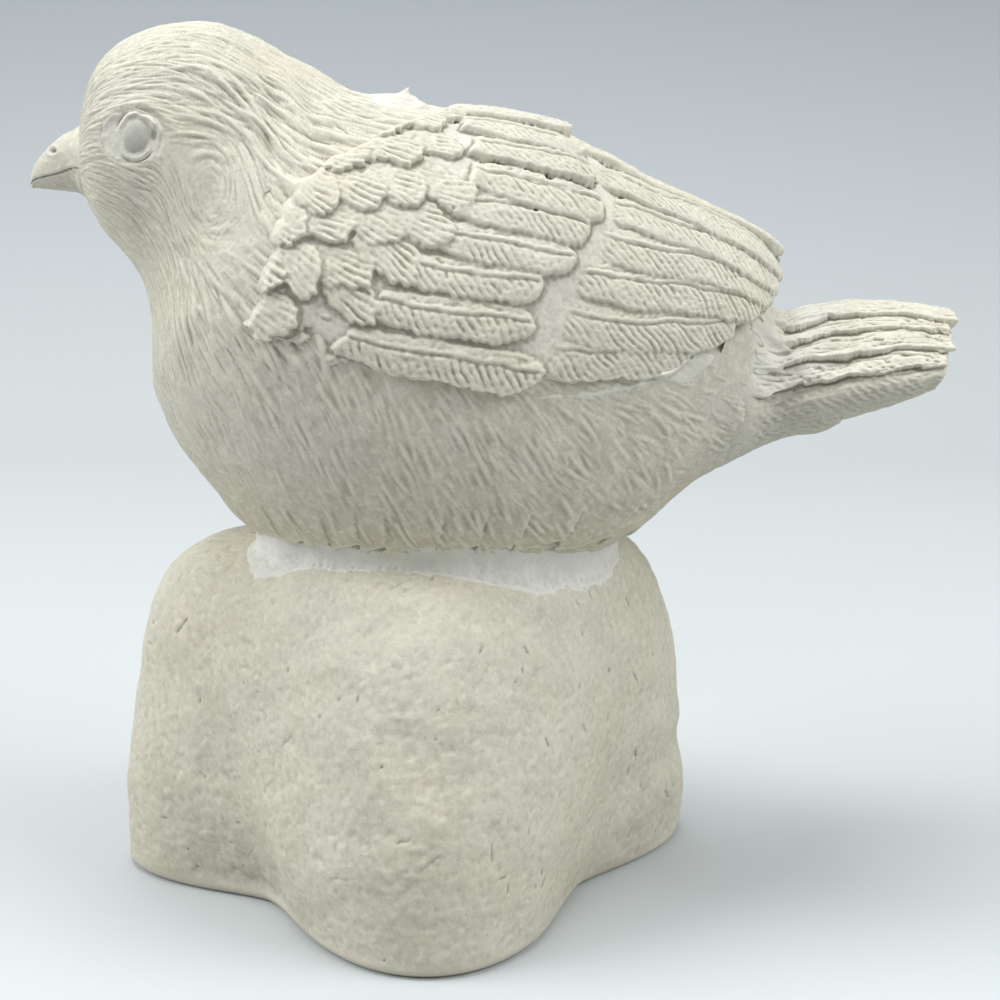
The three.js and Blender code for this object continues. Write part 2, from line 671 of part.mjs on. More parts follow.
const seatHeight = ROCK_HEIGHT - SEAT_DEPTH;
const pinHoles = Object.values(PINS).map((offset) => solidOf(pinForm(offset, CLEARANCE)));
const bodyAround = solidOf(bodyForm(CLEARANCE));
const rockAround = solidOf(rockForm(CLEARANCE).translate(0, 0, -seatHeight));
const beakRoot = bodyEnd(0);
const tailRoot = bodyEnd(lastStation);
const beakHoleEnd = beakRoot.x + BEAK_PEG_LENGTH + CLEARANCE;
const tailHoleEnd = tailRoot.x - TAIL_PEG_LENGTH - CLEARANCE;
const pegHoles = [
  pegAlongX(BEAK_PEG_DIAMETER + 2 * CLEARANCE, beakRoot.x - SUNK, beakHoleEnd, beakRoot.z),
  pegAlongX(TAIL_PEG_DIAMETER + 2 * CLEARANCE, tailHoleEnd, tailRoot.x + SUNK, tailRoot.z),
].map(solidOf);

const rock = cut(solidOf(rockForm().translate(0, 0, -seatHeight)), [bodyAround, ...pinHoles]);
const body = cut(solidOf(bodyForm()), [eyeSocket(LEFT), eyeSocket(RIGHT), ...pegHoles, ...pinHoles]);

const bird = new THREE.Group();
bird.position.z = seatHeight;
bird.add(
  piece('bird_body', geometryOf(body), RESIN),
  piece('beak', geometryOf(beakForm()), RESIN),
  piece('tail', geometryOf(tailForm()), RESIN),
  piece('belly_filler', geometryOf(bellyBead(bodyAround, rockAround)), FILLER),
  piece('nape_filler', geometryOf(napeBead(bodyAround)), FILLER),
  piece('tail_filler', geometryOf(tailBead(bodyAround)), FILLER),
);
for (const [name, side] of [['left', LEFT], ['right', RIGHT]]) {
  bird.add(piece(`${name}_wing`, geometryOf(wingForm(side, bodyAround)), RESIN));
  bird.add(piece(`${name}_wing_filler`, geometryOf(wingBead(side, bodyAround)), FILLER));
  const socket = new THREE.Group();
  socket.applyMatrix4(eyeFrame(side));
  socket.add(piece(`${name}_eye`, eyeForm(), EYE_RESIN), piece(`${name}_eye_filler`, collarForm(), FILLER));
  bird.add(socket);
}
for (const [name, offset] of Object.entries(PINS)) {
  bird.add(piece(name, pinForm(offset), STEEL));
}

const figurine = new THREE.Group();
const boulder = piece('rock_base', geometryOf(rock), RESIN_ROCK);
boulder.position.z = seatHeight;
figurine.add(boulder, bird);

export default figurine;
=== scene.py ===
import itertools
import math

import bpy
import numpy as np
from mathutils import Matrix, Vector
from mathutils.bvhtree import BVHTree


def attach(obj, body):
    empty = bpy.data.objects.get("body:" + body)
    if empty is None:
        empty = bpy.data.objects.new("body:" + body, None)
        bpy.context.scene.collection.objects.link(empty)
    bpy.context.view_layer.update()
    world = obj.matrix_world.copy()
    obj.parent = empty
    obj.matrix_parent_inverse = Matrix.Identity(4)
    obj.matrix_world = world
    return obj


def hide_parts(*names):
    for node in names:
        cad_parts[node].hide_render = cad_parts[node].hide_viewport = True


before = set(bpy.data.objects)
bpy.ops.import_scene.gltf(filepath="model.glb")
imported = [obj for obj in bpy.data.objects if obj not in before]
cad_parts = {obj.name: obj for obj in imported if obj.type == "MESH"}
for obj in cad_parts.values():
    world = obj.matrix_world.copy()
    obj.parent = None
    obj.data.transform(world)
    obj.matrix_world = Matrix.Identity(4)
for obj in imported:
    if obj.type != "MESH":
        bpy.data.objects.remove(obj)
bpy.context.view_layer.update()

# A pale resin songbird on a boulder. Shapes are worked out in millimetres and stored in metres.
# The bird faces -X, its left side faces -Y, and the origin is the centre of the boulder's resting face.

MM = 0.001

# The photograph's camera
FIELD_OF_VIEW = 32.0
CAMERA_ELEVATION = 13.0
CAMERA_DISTANCE = 295.0
CAMERA_TARGET = np.array([15.0, 0.0, 66.0])
SENSOR_WIDTH = 36.0

# Boulder
ROCK_HEIGHT = 60.0
ROCK_CORE = (35.0, 31.0)  # half length and half depth
ROCK_TOP_FLATNESS = 8.0
ROCK_WALL_STEEPNESS = 3.6
ROCK_FOOT_EDGE = 2.0
ROCK_UNDERCUT = 7.0
ROCK_UNDERCUT_HEIGHT = 34.0
ROCK_LOBES = [  # bearing in degrees, reach, spread in degrees, and how much it leans in
    (176, 16.0, 24, 0.2), (277, 12.3, 40, 0.9), (24, 17.0, 28, 0.2), (108, 10.0, 36, 0.5),
]
ROCK_GRAIN = 0.35  # spacing of the skin's points
ROCK_MEAN_RADIUS = 44.0
ROCK_SIDES = int(2 * math.pi * ROCK_MEAN_RADIUS / ROCK_GRAIN)
ROCK_SEED = 21
ROCK_FOOT = 4.0  # height over which the relief fades to the flat resting face
ROCK_LUMPS = [(0.7, 17.0, 1), (0.35, 7.5, 2), (0.1, 3.2, 3), (0.08, 1.5, 4), (0.04, 0.8, 40)]  # see layered

# Marks on the boulder. lean is its mean and scatter in degrees from upright, reach is in grid cells.
DENTS = dict(count=1100, length=(0.5, 2.6), width=(0.5, 1.2), depth=(0.03, 0.13), lean=(40, 35), reach=4)
SCORES = dict(count=42, length=(1.0, 4.5), width=(0.16, 0.25), depth=(0.08, 0.24), lean=(48, 16), reach=1)
PITS = dict(count=120, length=(0.1, 0.6), width=(0.18, 0.32), depth=(0.12, 0.35), lean=(0, 40), reach=1)
CRACKS = dict(count=55, length=(0.8, 3.2), width=(0.16, 0.25), depth=(0.12, 0.4), lean=(-6, 16), reach=1)
FLAKES = dict(count=360, length=(0.6, 2.2), width=(0.25, 0.55), depth=(0.05, 0.15), lean=(68, 26), reach=2)

# Bird's body
SEAT_HEIGHT = 51.8  # of the belly's lowest point
BELLY_MIDDLE = -3.0  # x of the upright axis that the paste under the belly runs round
BELLY_ROUND = 30.0  # radius at which noise runs round that axis
BELLY_HEM = 62.2  # height at which the belly's lowest feather tips end
BELLY_LEVELS = (52, 74, 45)  # lowest and highest height at which the belly is felt for, and their number
BELLY_BULGES = (3.75, 5.5)  # bearings in radians at which the paste spreads
BELLY_PASTE_GRID = (1000, 44)
FAR = 90.0  # distance from which rays find the belly
SKY = 100.0  # height from which rays find the boulder
BODY_FULLNESS = 0.12
BODY_STATIONS = np.array([  # crown x and z, keel x and z, half width; z is above the belly's lowest point
    (-52, 75.7, -51.5, 65.2, 5.5),
    (-48.5, 86.2, -49, 59.7, 11.5),
    (-40.5, 91.2, -45, 54.7, 14.5),
    (-30, 92, -42.5, 49.7, 15.8),
    (-19, 87, -41.8, 43.2, 18.5),
    (-9, 81.5, -41.4, 32.7, 24),
    (2, 79.2, -36, 21.7, 28),
    (15, 77.4, -24, 8.7, 30),
    (27, 73.3, -6, 1.2, 30),
    (38, 66.5, 13, 0, 27),
    (47.5, 60.8, 31, 5.7, 22),
    (55, 54, 46, 17.2, 16.5),
    (60, 45.2, 59, 24.5, 11.5),
])
LAST_STATION = len(BODY_STATIONS) - 1
BODY_GRID = (540, 720)
BODY_SEED = 31
BODY_LUMPS = [(0.16, 5.5, 5), (0.05, 2.0, 6)]
HEAD_PACE = 9.2  # millimetres to a station at the head
HEAD_GIRTH = 0.36  # millimetres to a degree at the head
CHEEK_PACE = 9.0  # the same at the cheek
CHEEK = (4.0, 84.0, 8.0)  # station, angle and reach of the whorl
LOCKS = [(4.2, 40, 0.7), (4.5, 57, 0.8), (4.9, 39, 0.7)]  # station, angle and depth of hollows at the neck
LOCK_SLANT = 26.0  # degrees of angle in a station

# Tooled strokes on the body. wander is the scatter of their heading in degrees.
FOLDS = dict(count=60, length=(9.0, 16.0), width=(0.9, 1.5), height=(0.35, 0.8), spread=(11, 18))
HEAD_STROKES = dict(count=3000, length=(5.0, 12.0), width=(0.22, 0.34), height=(0.08, 0.24))
NECK_STROKES = dict(count=260, length=(7.0, 14.0), width=(0.4, 0.7), height=(0.25, 0.6))
FRONT_STROKES = dict(count=3200, length=(2.5, 7.0), width=(0.17, 0.27), height=(0.08, 0.23),
                     wander=6.0, steps=14)
HEM_STROKES = dict(count=260, length=(3.0, 8.0), width=(0.26, 0.4), height=(0.16, 0.32),
                   wander=6.0, steps=14)
HEAD_GROOVES = dict(count=2400, length=(4.0, 10.0), width=(0.2, 0.3), height=(0.07, 0.23))

# Wings: places are (station, angle from the crown line in degrees), lifts are heights above the body
WING_GRID = (580, 430)
WING_REACH = ((4.85, 11.99), (-1.0, 101.0))
WINGS = [("left", 1, 41), ("right", -1, 42)]  # name, side and seed
WING_SUNK = 0.8  # depth of its underside in the body
NOTHING = -9.0  # height where a wing has nothing yet
WING_OVERHANG = 1.1  # how far the tips reach past the body's last station
BED_TOP = [(4.9, 62), (5.3, 56), (5.6, 47), (6, 29), (6.6, 12), (7.4, 5), (9, 4), (10.3, 5), (11.1, 13)]
BED_BOTTOM = [(4.9, 68), (5.3, 76), (5.6, 89), (6, 94), (6.6, 95), (7.4, 91), (9, 80), (10.3, 71), (11.1, 55)]
BED_LIFT = 0.5
FRONT_EDGE = [(10, 6.2), (28, 5.75), (45, 5.3), (63, 5.0), (77, 5.15), (92, 5.5)]  # angle and station
SCALE_ROWS = [  # tips of the first and the last scale of a row, and the number of scales
    ((6.2, 20), (6.55, 14), 2),
    ((6.0, 33), (6.5, 26), 2),
    ((5.9, 46), (6.85, 36), 3),
    ((5.8, 60), (7.2, 48), 4),
    ((5.75, 73), (7.15, 60), 4),
    ((5.75, 86), (7.1, 71), 4),
    ((6.1, 91), (6.9, 82), 2),
]
SCALE_LENGTH = 0.72  # in stations
SCALE = dict(half=3.4, root_lift=0.8, tip_lift=1.95, crown=0.15, tilt=0.35, round=0.45, root=0.7,
             barb=1.2, barb_depth=0.62, ragged=0.8, shaft=0.0, slit=0.12, edge=0.35,
             even=True, warp=1.0, rough=0.13)
TUFT_COUNT = 14  # small ragged feathers at the wing's bend
TUFT = dict(SCALE, half=1.25, root_lift=-0.2, tip_lift=0.75, barb=0.7, barb_depth=0.3, edge=0.2)
SECONDARY = dict(half=3.4, root_lift=1.4, tip_lift=(2.5, 1.8), crown=0.25, tilt=0.42, round=0.2, root=0.7,
                 barb=1.4, barb_depth=0.56, barb_slope=1.0, ragged=0.6, shaft=0.36, slit=0.4, edge=0.4,
                 even=False, warp=0.5, rough=0.1)
PRIMARY = dict(half=3.8, root_lift=1.5, tip_lift=(9.0, 1.5), crown=0.25, tilt=0.4, round=0.2, root=0.75,
               barb=1.3, barb_depth=0.52, barb_slope=0.95, ragged=0.55, shaft=0.36, slit=0.4, edge=0.4,
               even=False, warp=0.5, rough=0.1, sink=1.5)
SECONDARY_COUNT = 9
SECONDARY_ROOTS = [(6.4, 11), (7.0, 38), (7.0, 63), (6.7, 89)]
SECONDARY_TIPS = [(7.85, 8), (8.65, 32), (8.4, 58), (8.5, 82)]
PRIMARY_COUNT = 7
PRIMARY_ROOTS = [(7.8, 9), (8.35, 33), (8.2, 58), (8.3, 78)]
PRIMARY_TIPS = [(11.9, 4), (11.72, 23), (11.5, 37), (11.05, 56), (10.3, 71)]
PRIMARY_THICKNESS = 1.5
HORN = dict(half=2.5, round=0.75, swoop=2.6, ragged=0.1)  # the pointed uppermost primary
HORN_LIFT = 10.2
QUILL = 0.25  # how far a shaft lies off a feather's middle, as a share of the half width
PIT_COUNT = 50  # air holes in a wing's paste
PIT_REACH = 6  # grid cells
RIM_LIMIT = 0.22  # how far a point of the rim may move

# Strip of paste under a wing: station and angle of its middle, station and half width
STRIP_MIDDLE = [(8.0, 87.5), (8.4, 87.5), (9.1, 84), (9.9, 79.5), (10.3, 77), (10.75, 73)]
STRIP_WIDTH = [
    (8.0, -1), (8.35, 0.3), (8.8, 1.0), (9.6, 1.1), (10.0, 1.5), (10.35, 3.2), (10.6, 1.5), (10.75, -1),
]
STRIP_REACH = 10.0  # degrees on either side of its middle
STRIP_GRID = (190, 90)
THIN_PASTE = 0.6  # share of white in a thin smear

# Smear at the nape
NAPE_STATION = 5.66
NAPE_REACH = ((5.0, 6.3), (-20, 20))  # stations and angles
NAPE_GRID = (110, 110)

# Tail
TAIL_FIRST = 11.0  # station at which its skin leaves the body
TAIL_CROWN = [(60.0, 97.0), (66.0, 98.7), (73.0, 99.6), (81.5, 99.3), (90.6, 97.9)]  # x and z of its top line
TAIL_KEEL = [(59.0, 76.3), (65.0, 78.4), (71.0, 80.5), (78.0, 82.8), (85.2, 85.6)]  # x and z of its underside
TAIL_HALF = (11.5, 13.2)
TAIL_FULLNESS = (0.12, 0.34)
TAIL_EDGES = (36.0, 53.0, 74.5, 95.0)  # degrees from the top line at which the feathers of a side end
TAIL_LAYER = 1.7  # height of a feather's edge
TAIL_TRIM = (0.0, 1.6, 0.7, 1.5, 0.8)  # how much shorter each feather of a side is
TAIL_LUMPS = [(0.12, 2.6, 73), (0.05, 0.9, 74)]
TAIL_GRID = (330, 540)
TAIL_LEAD = 66  # rows that run over the body
TAIL_JOINT = 34  # rows on either side of the joint with the body over which the ground is smoothed
TAIL_JOINT_ROUNDS = 160
TAIL_RELIEF = (54.0, 58.0)  # x over which its relief begins
TAIL_ROOT = 67.0  # x at which the paste between its feathers ends
TAIL_HEM = 67.5  # x of the body's feather tips on its underside
TAIL_PASTE_REACH = ((50, 78), (-104, 104))  # x, and degrees from the top line
TAIL_PASTE_AXIS = [(50, 38), (60, 36), (78, 37)]  # x, and height above the belly's lowest point
TAIL_PASTE_GRID = (150, 260)

# Beak
BEAK_LENGTH = 9.7
BEAK_TIP = 2.0
BEAK_ARCH = 1.9
BEAK_MOUTH = 108.0  # degrees from the culmen round the side
BEAK_NOSTRIL = (-56.5, 124.1)  # x and z
BEAK_GRID = (90, 132)

# Eyes
EYE_PLACE = (2.25, 83.5)  # station and angle
EYE_SIZE = (4.6, 5.6, 4.4)  # along the head, upwards and outwards
EYE_PROUD = 0.4
EYE_GRID = (48, 64)
EYE_PASTE_REACH = ((-7.6, 6.2), (-5.8, 5.2))  # towards the tail and upwards
EYE_PASTE_GRID = (130, 150)
EYE_PASTE_WHITE = 0.5
SWIRLS = [CHEEK, (*EYE_PLACE, 4.6)]  # the strokes run round the cheek and round the eye

# Lamps: name, place and size in metres, and power
LAMPS = [
    ("top", (-0.05, 0.0, 0.9), 0.6, 5.5),
    ("front", (-0.3, -1.0, 0.9), 0.8, 2.1),
    ("left", (-0.8, -0.15, 0.6), 0.7, 6.5),
    ("right", (0.8, -0.25, 0.6), 0.7, 6.1),
]
LAMP_TARGET = (0.0, 0.0, 0.06)
WORLD_STRENGTH = 0.02

# Colours, linear
RESIN = (0.66, 0.65, 0.56)
# painted shade in the bird's hollows, and the colour of its dark specks
RESIN_SHADE_AND_SPECK = (0.29, 0.275, 0.21)
ROCK = (0.67, 0.655, 0.555)
# painted shade in the boulder's hollows, and the colour of its dark specks
ROCK_SHADE_AND_SPECK = (0.34, 0.325, 0.26)
EYE = (0.5, 0.505, 0.46)
FILLER = (0.8, 0.8, 0.745)
# painted shade in pits, cracks, scores, grooves, nostrils and air holes
PIT_SHADE = (0.02, 0.018, 0.014)
TAN = (0.98, 0.94, 0.84)  # factors of a colour
# factors of a colour for the painted shade, a darker tan, round the joint of bird and boulder
JOINT_SHADE_TINT = (0.88, 0.81, 0.68)
JOINT_HEIGHT = 0.058  # in metres: shade is painted in a darker tan round the joint of bird and boulder
JOINT_REACH = (0.004, 0.02)
STEEL = ((0.3, 0.31, 0.33), (0.42, 0.43, 0.45))
FLOOR = (0.59, 0.635, 0.65)
# painted shade: the backdrop darkens towards its top as the light falls off
SHADED_WALL = (0.23, 0.265, 0.3)
BOUNCE = (0.45, 0.46, 0.46)  # of floor and wall in the light that they throw back
WORLD_LIGHT = (1.0, 0.99, 0.97)
WORLD_SEEN = (0.46, 0.52, 0.56)


# Numbers

PERMUTATION = np.random.default_rng(11).permutation(256)
GRADIENTS = np.random.default_rng(12).normal(size=(256, 3))
GRADIENTS /= np.linalg.norm(GRADIENTS, axis=1, keepdims=True)


def noise(points, size, seed):
    """Smooth noise of about -1 to 1 whose lumps are about size wide."""
    shape = points.shape[:-1]
    place = points.reshape(-1, 3) / size + seed * 19.7
    cell = np.floor(place).astype(np.int64)
    inner = place - cell
    fade = inner**3 * (inner * (6 * inner - 15) + 10)
    total = np.zeros(len(place))
    for corner in itertools.product((0, 1), repeat=3):
        x, y, z = ((cell + corner) & 255).T
        slope = GRADIENTS[PERMUTATION[(PERMUTATION[(PERMUTATION[x] + y) & 255] + z) & 255]]
        weight = np.prod(np.where(corner, fade, 1 - fade), axis=1)
        total += weight * np.einsum("ij,ij->i", slope, inner - corner)
    return 1.7 * total.reshape(shape)


def flat_noise(x, y, size_x, size_y, seed):
    """Noise over two coordinates with its own size along each."""
    x, y = np.broadcast_arrays(x / size_x, y / size_y)
    return noise(np.stack([x, y, np.full(x.shape, 0.37)], -1), 1.0, seed)


def layered(points, layers):
    """Noise of several sizes. A layer is its height, its size and its seed."""
    return sum(height * noise(points, size, seed) for height, size, seed in layers)


def smooth(low, high, values):
    """Rises from 0 at low to 1 at high."""
    share = np.clip((values - low) / (high - low), 0, 1)
    return share * share * (3 - 2 * share)


def between(ends, share):
    """A value on the way from the first of two ends to the second."""
    return ends[0] + (ends[1] - ends[0]) * share


def band(start, full, fall, end, values):
    """Rises from 0 at start to 1 at full, and falls back from fall to end."""
    return smooth(start, full, values) * (1 - smooth(fall, end, values))


def bump(values):
    """A bell of height 1 at 0."""
    return np.exp(-values * values)


def teeth(values):
    """Peaks of height 1 at whole numbers, 0.3 wide on either side."""
    return np.clip(1 - np.abs(values - np.round(values)) / 0.3, 0, 1)


def spots(x, y, z):
    """Points from their three coordinates."""
    return np.stack(np.broadcast_arrays(x, y, z), -1)


def pace_of(points, axis):
    """Distance from point to point along one axis of a grid."""
    return np.linalg.norm(np.gradient(points, axis=axis), axis=-1)


def round_angles(count):
    """Angles in degrees from -180, all the way round."""
    return (np.arange(count) / count * 360 - 180)[None, :]


def soften(values, rounds):
    """Blurs a grid by one cell a round."""
    for _ in range(rounds):
        for axis in (0, 1):
            wide = np.concatenate([values.take([0], axis), values, values.take([-1], axis)], axis)
            count = values.shape[axis]
            before, here, after = (wide.take(np.arange(count) + k, axis) for k in range(3))
            values = 0.25 * before + 0.5 * here + 0.25 * after
    return values


def soften_round(values, rounds):
    """Blurs a grid whose last row meets its first."""
    return soften(np.concatenate([values[-rounds:], values, values[:rounds]]), rounds)[rounds:-rounds]


def catmull(values, at):
    """A smooth curve through rows of values, at places counted in rows."""
    values = np.vstack([2 * values[0] - values[1], values, 2 * values[-1] - values[-2]])
    at = np.asarray(at, float)
    cell = np.clip(np.floor(at).astype(int), 0, len(values) - 4)
    t = (at - cell)[..., None]
    a, b, c, d = (values[cell + k] for k in range(4))
    return 0.5 * (2 * b + (c - a) * t + (2 * a - 5 * b + 4 * c - d) * t**2 + (3 * b - a - 3 * c + d) * t**3)


def along(points, share):
    """A place on the smooth curve through points, share from 0 to 1."""
    return catmull(np.array(points, float), share * (len(points) - 1))


# Skins: points with faces, each face with its corners' places on a chart

CAP = 0.02  # share of a chart that a flat end takes
CHART_MARGIN = 0.01
VALUES = ("hollow", "filler", "pit_shade")  # kept at each point for the finish, which paints shade in hollows and pits and a highlight on ridges from them


def skin_of(rings, looped=False):
    """A closed skin over rings of points, with flat ends or looped back to the first ring."""
    rows, cols = rings.shape[:2]
    bands = rows if looped else rows - 1
    row, col = np.meshgrid(np.arange(bands), np.arange(cols), indexing="ij")
    corners = [(row, col), (row, col + 1), (row + 1, col + 1), (row + 1, col)]
    index = np.stack([(r % rows) * cols + c % cols for r, c in corners], -1)
    chart = np.stack([np.stack([c / cols, CAP + (1 - 2 * CAP) * r / bands], -1) for r, c in corners], -2)
    points = rings.reshape(-1, 3)
    faces = [(index.reshape(-1, 4), chart.reshape(-1, 4, 2))]
    if not looped:
        turn = np.arange(cols)
        for ring, edge, rim in ((0, 0.0, CAP), (rows - 1, 1.0, 1 - CAP)):
            one, two = ring * cols + turn, ring * cols + (turn + 1) % cols
            fan = np.stack([one, two, np.full(cols, len(points))], -1)
            places = np.stack([
                np.stack([turn / cols, np.full(cols, rim)], -1),
                np.stack([(turn + 1) / cols, np.full(cols, rim)], -1),
                np.stack([(turn + 0.5) / cols, np.full(cols, edge)], -1),
            ], 1)
            points = np.vstack([points, rings[ring].mean(0)])
            flip = [1, 0, 2] if ring == 0 else [0, 1, 2]
            faces.append((fan[:, flip], places[:, flip]))
    return {"points": points, "faces": faces}


def slab_of(top, bottom):
    """A closed skin with a top grid and a bottom grid of the same size."""
    return skin_of(np.concatenate([top, bottom[:, ::-1]], axis=1))


def facing_out(skin):
    """The skin with its faces turned outwards."""
    volume = 0.0
    for index, _ in skin["faces"]:
        corners = skin["points"][index]
        for k in range(1, index.shape[1] - 1):
            volume += np.einsum("ij,ij->", corners[:, 0], np.cross(corners[:, k], corners[:, k + 1]))
    if volume < 0:
        skin["faces"] = [(index[:, ::-1], chart[:, ::-1]) for index, chart in skin["faces"]]
    return skin


def hollows(skin, rounds=9):
    """How far each point lies below its neighbourhood, in millimetres."""
    points = skin["points"]
    count = len(points)
    pairs = []
    normals = np.zeros_like(points)
    for index, _ in skin["faces"]:
        pairs += [index[:, [k, (k + 1) % index.shape[1]]] for k in range(index.shape[1])]
        corners = points[index]
        across = np.cross(corners[:, 2] - corners[:, 0], corners[:, -1] - corners[:, 1])
        for k in range(index.shape[1]):
            for axis in range(3):
                normals[:, axis] += np.bincount(index[:, k], across[:, axis], count)
    normals /= np.linalg.norm(normals, axis=1, keepdims=True) + 1e-12
    one, two = np.vstack(pairs).T
    degree = np.maximum(np.bincount(one, minlength=count), 1)
    level = points.copy()
    for _ in range(rounds):
        total = np.stack([np.bincount(one, level[two, axis], count) for axis in range(3)], -1)
        level = 0.5 * level + 0.5 * total / degree[:, None]
    return np.einsum("ij,ij->i", level - points, normals)


def add_piece(name, skin, material, node):
    """Makes one object from a closed skin, seats it in the frame and gives it its finish."""
    skin = facing_out(skin)
    count = len(skin["points"])
    corners = np.concatenate([index.ravel() for index, _ in skin["faces"]])
    sides = np.concatenate([np.full(len(index), index.shape[1]) for index, _ in skin["faces"]])
    places = np.vstack([chart.reshape(-1, 2) for _, chart in skin["faces"]])
    places = places * (1 - 2 * CHART_MARGIN) + CHART_MARGIN
    mesh = bpy.data.meshes.new(name)
    mesh.vertices.add(count)
    mesh.vertices.foreach_set("co", (skin["points"] * MM).astype(np.float32).ravel())
    mesh.loops.add(len(corners))
    mesh.loops.foreach_set("vertex_index", corners.astype(np.int32))
    mesh.polygons.add(len(sides))
    mesh.polygons.foreach_set("loop_start", (np.cumsum(sides) - sides).astype(np.int32))
    mesh.update(calc_edges=True)
    mesh.uv_layers.new(name="OFBake").uv.foreach_set("vector", places.astype(np.float32).ravel())
    # the finish paints shade in hollows and a highlight on ridges from this depth
    skin["hollow"] = hollows(skin)
    for key in VALUES:
        layer = mesh.attributes.new(key, "FLOAT", "POINT")
        layer.data.foreach_set("value", np.broadcast_to(skin.get(key, 0.0), count).astype(np.float32))
    mesh.shade_smooth()
    piece = bpy.data.objects.new(name, mesh)
    bpy.context.scene.collection.objects.link(piece)
    mesh.materials.append(material)
    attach(piece, "root")
    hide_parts(node)
    return piece


def grid_normals(points):
    """Unit normals of a grid whose columns run round."""
    down = np.gradient(points, axis=0)
    over = np.roll(points, -1, 1) - np.roll(points, 1, 1)
    normals = np.cross(over, down)
    return normals / (np.linalg.norm(normals, axis=-1, keepdims=True) + 1e-12)


# Boulder

def rock_radius(bearing, height):
    """Distance of the boulder's wall from its axis, before the top rounds in."""
    radius = 1 / np.hypot(np.cos(bearing) / ROCK_CORE[0], np.sin(bearing) / ROCK_CORE[1])
    lean = (height / ROCK_HEIGHT) ** 2
    hollow = ROCK_UNDERCUT * np.maximum(0, 1 - height / ROCK_UNDERCUT_HEIGHT) ** 2
    ridge = np.zeros_like(radius)
    for middle, reach, spread, tilt in ROCK_LOBES:
        away = (bearing - math.radians(middle) + math.pi) % (2 * math.pi) - math.pi
        swell = bump(away / math.radians(spread))
        radius = radius + reach * swell * (1 - tilt * lean)
        ridge = np.maximum(ridge, swell)
    return radius - hollow * (1 - ridge)


def rock_profile():
    """Heights and shares of the full radius from the resting face's edge to the top, evenly spaced."""
    turn = np.linspace(0, math.pi / 2, 4000)
    height = ROCK_HEIGHT * np.sin(turn) ** (2 / ROCK_WALL_STEEPNESS)
    share = np.cos(turn) ** (2 / ROCK_TOP_FLATNESS)
    mean = sum(ROCK_CORE) / 2 + 8  # radius with the lobes
    run = np.concatenate([[0], np.cumsum(np.hypot(np.diff(height), mean * np.diff(share)))])
    places = np.arange(0, run[-1] - 2.0, ROCK_GRAIN)
    return np.interp(places, run, height), np.interp(places, run, share)


def rock_grid():
    """The boulder's points before any relief, row by row from its foot."""
    height, share = rock_profile()
    bearing = np.arange(ROCK_SIDES) / ROCK_SIDES * 2 * math.pi
    bearing, height = np.meshgrid(bearing, height)
    inset = ROCK_FOOT_EDGE * (1 - np.sqrt(1 - np.clip(1 - height / ROCK_FOOT_EDGE, 0, 1) ** 2))
    radius = rock_radius(bearing, height) * share[:, None] - inset
    return spots(np.cos(bearing) * radius, np.sin(bearing) * radius, height)


def stamp(field, points, row, col, spot, width, height, spread):
    """Raises a field round spots near those rows and columns, each by its height over its width."""
    rows, cols = field.shape
    for i, j in itertools.product(range(-spread[0], spread[0] + 1), range(-spread[1], spread[1] + 1)):
        near = (np.clip(row + i, 0, rows - 1), (col + j) % cols)
        gap = np.linalg.norm(points[near] - spot, axis=1) / width
        np.maximum.at(field, near, height * bump(gap))


def marks(points, rng, where, count, length, width, depth, lean, reach):
    """Short scored marks over a grid: a field of depths. lean turns them from upright, in degrees."""
    rows, cols = points.shape[:2]
    pace_row, pace_col = pace_of(points, 0), pace_of(points, 1)
    odds = (pace_row * pace_col * where).ravel()
    start = rng.choice(odds.size, count, p=odds / odds.sum())
    pace_row, pace_col = pace_row.ravel()[start], pace_col.ravel()[start]
    turn = np.radians(rng.normal(*lean, count))
    long, wide, deep = (rng.uniform(*ends, count) for ends in (length, width, depth))
    steps = max(1, int(length[1] / (0.5 * width[0])))
    field = np.zeros((rows, cols))
    for step in range(steps):
        share = step / max(1, steps - 1) - 0.5
        row = start // cols + np.round(share * long * np.cos(turn) / pace_row).astype(int)
        row = np.clip(row, 0, rows - 1)
        col = (start % cols + np.round(share * long * np.sin(turn) / pace_col).astype(int)) % cols
        taper = 1 - 1.6 * share**2
        stamp(field, points, row, col, points[row, col], wide, deep * taper, (reach, reach))
    return field


def rock_hollows(points):
    """Depth of the boulder's broad hollows: on the left wall, low on the right and at the foot in front."""
    bearing = np.degrees(np.arctan2(points[..., 1], points[..., 0]))
    height = points[..., 2]
    left = bump((np.abs(bearing) - 180) / 38) * bump((height - 37) / 11)
    right = bump((bearing - 8) / 20) * bump((height - 19) / 4)
    turned = bearing % 360
    foot = band(188, 214, 221, 238, turned) * (1 - smooth(5, 24, height))
    return 1.5 * left + 1.1 * right + 1.5 * foot


def rock_skin():
    """The boulder with its lumps, hollows and marks."""
    points = rock_grid()
    normals = grid_normals(points)
    rng = np.random.default_rng(ROCK_SEED)
    right = smooth(8, 32, points[..., 0])
    front = (1 - right) * smooth(5, -20, points[..., 1])
    dents = marks(points, rng, 1.0, **DENTS)
    scores = marks(points, rng, 1.05 - right, **SCORES)
    pits = marks(points, rng, 1.0, **PITS)
    cracks = marks(points, rng, right, **CRACKS)
    flakes = marks(points, rng, 0.12 + front, **FLAKES)
    rise = layered(points, ROCK_LUMPS) - rock_hollows(points)
    rise = rise - (dents + scores + pits + cracks - flakes)
    points = points + normals * (rise * smooth(0.0, ROCK_FOOT, points[..., 2]))[..., None]
    points[..., 2] = np.maximum(points[..., 2], 0)
    skin = skin_of(points)
    # painted shade in the cracks, pits and scores
    dark = np.clip(1.9 * (cracks - 0.1) + 1.2 * (pits - 0.18) + 0.7 * (scores - 0.16), 0, 0.75)
    skin["pit_shade"] = np.append(dark.ravel(), [0, 0])
    return skin


# Bird's body

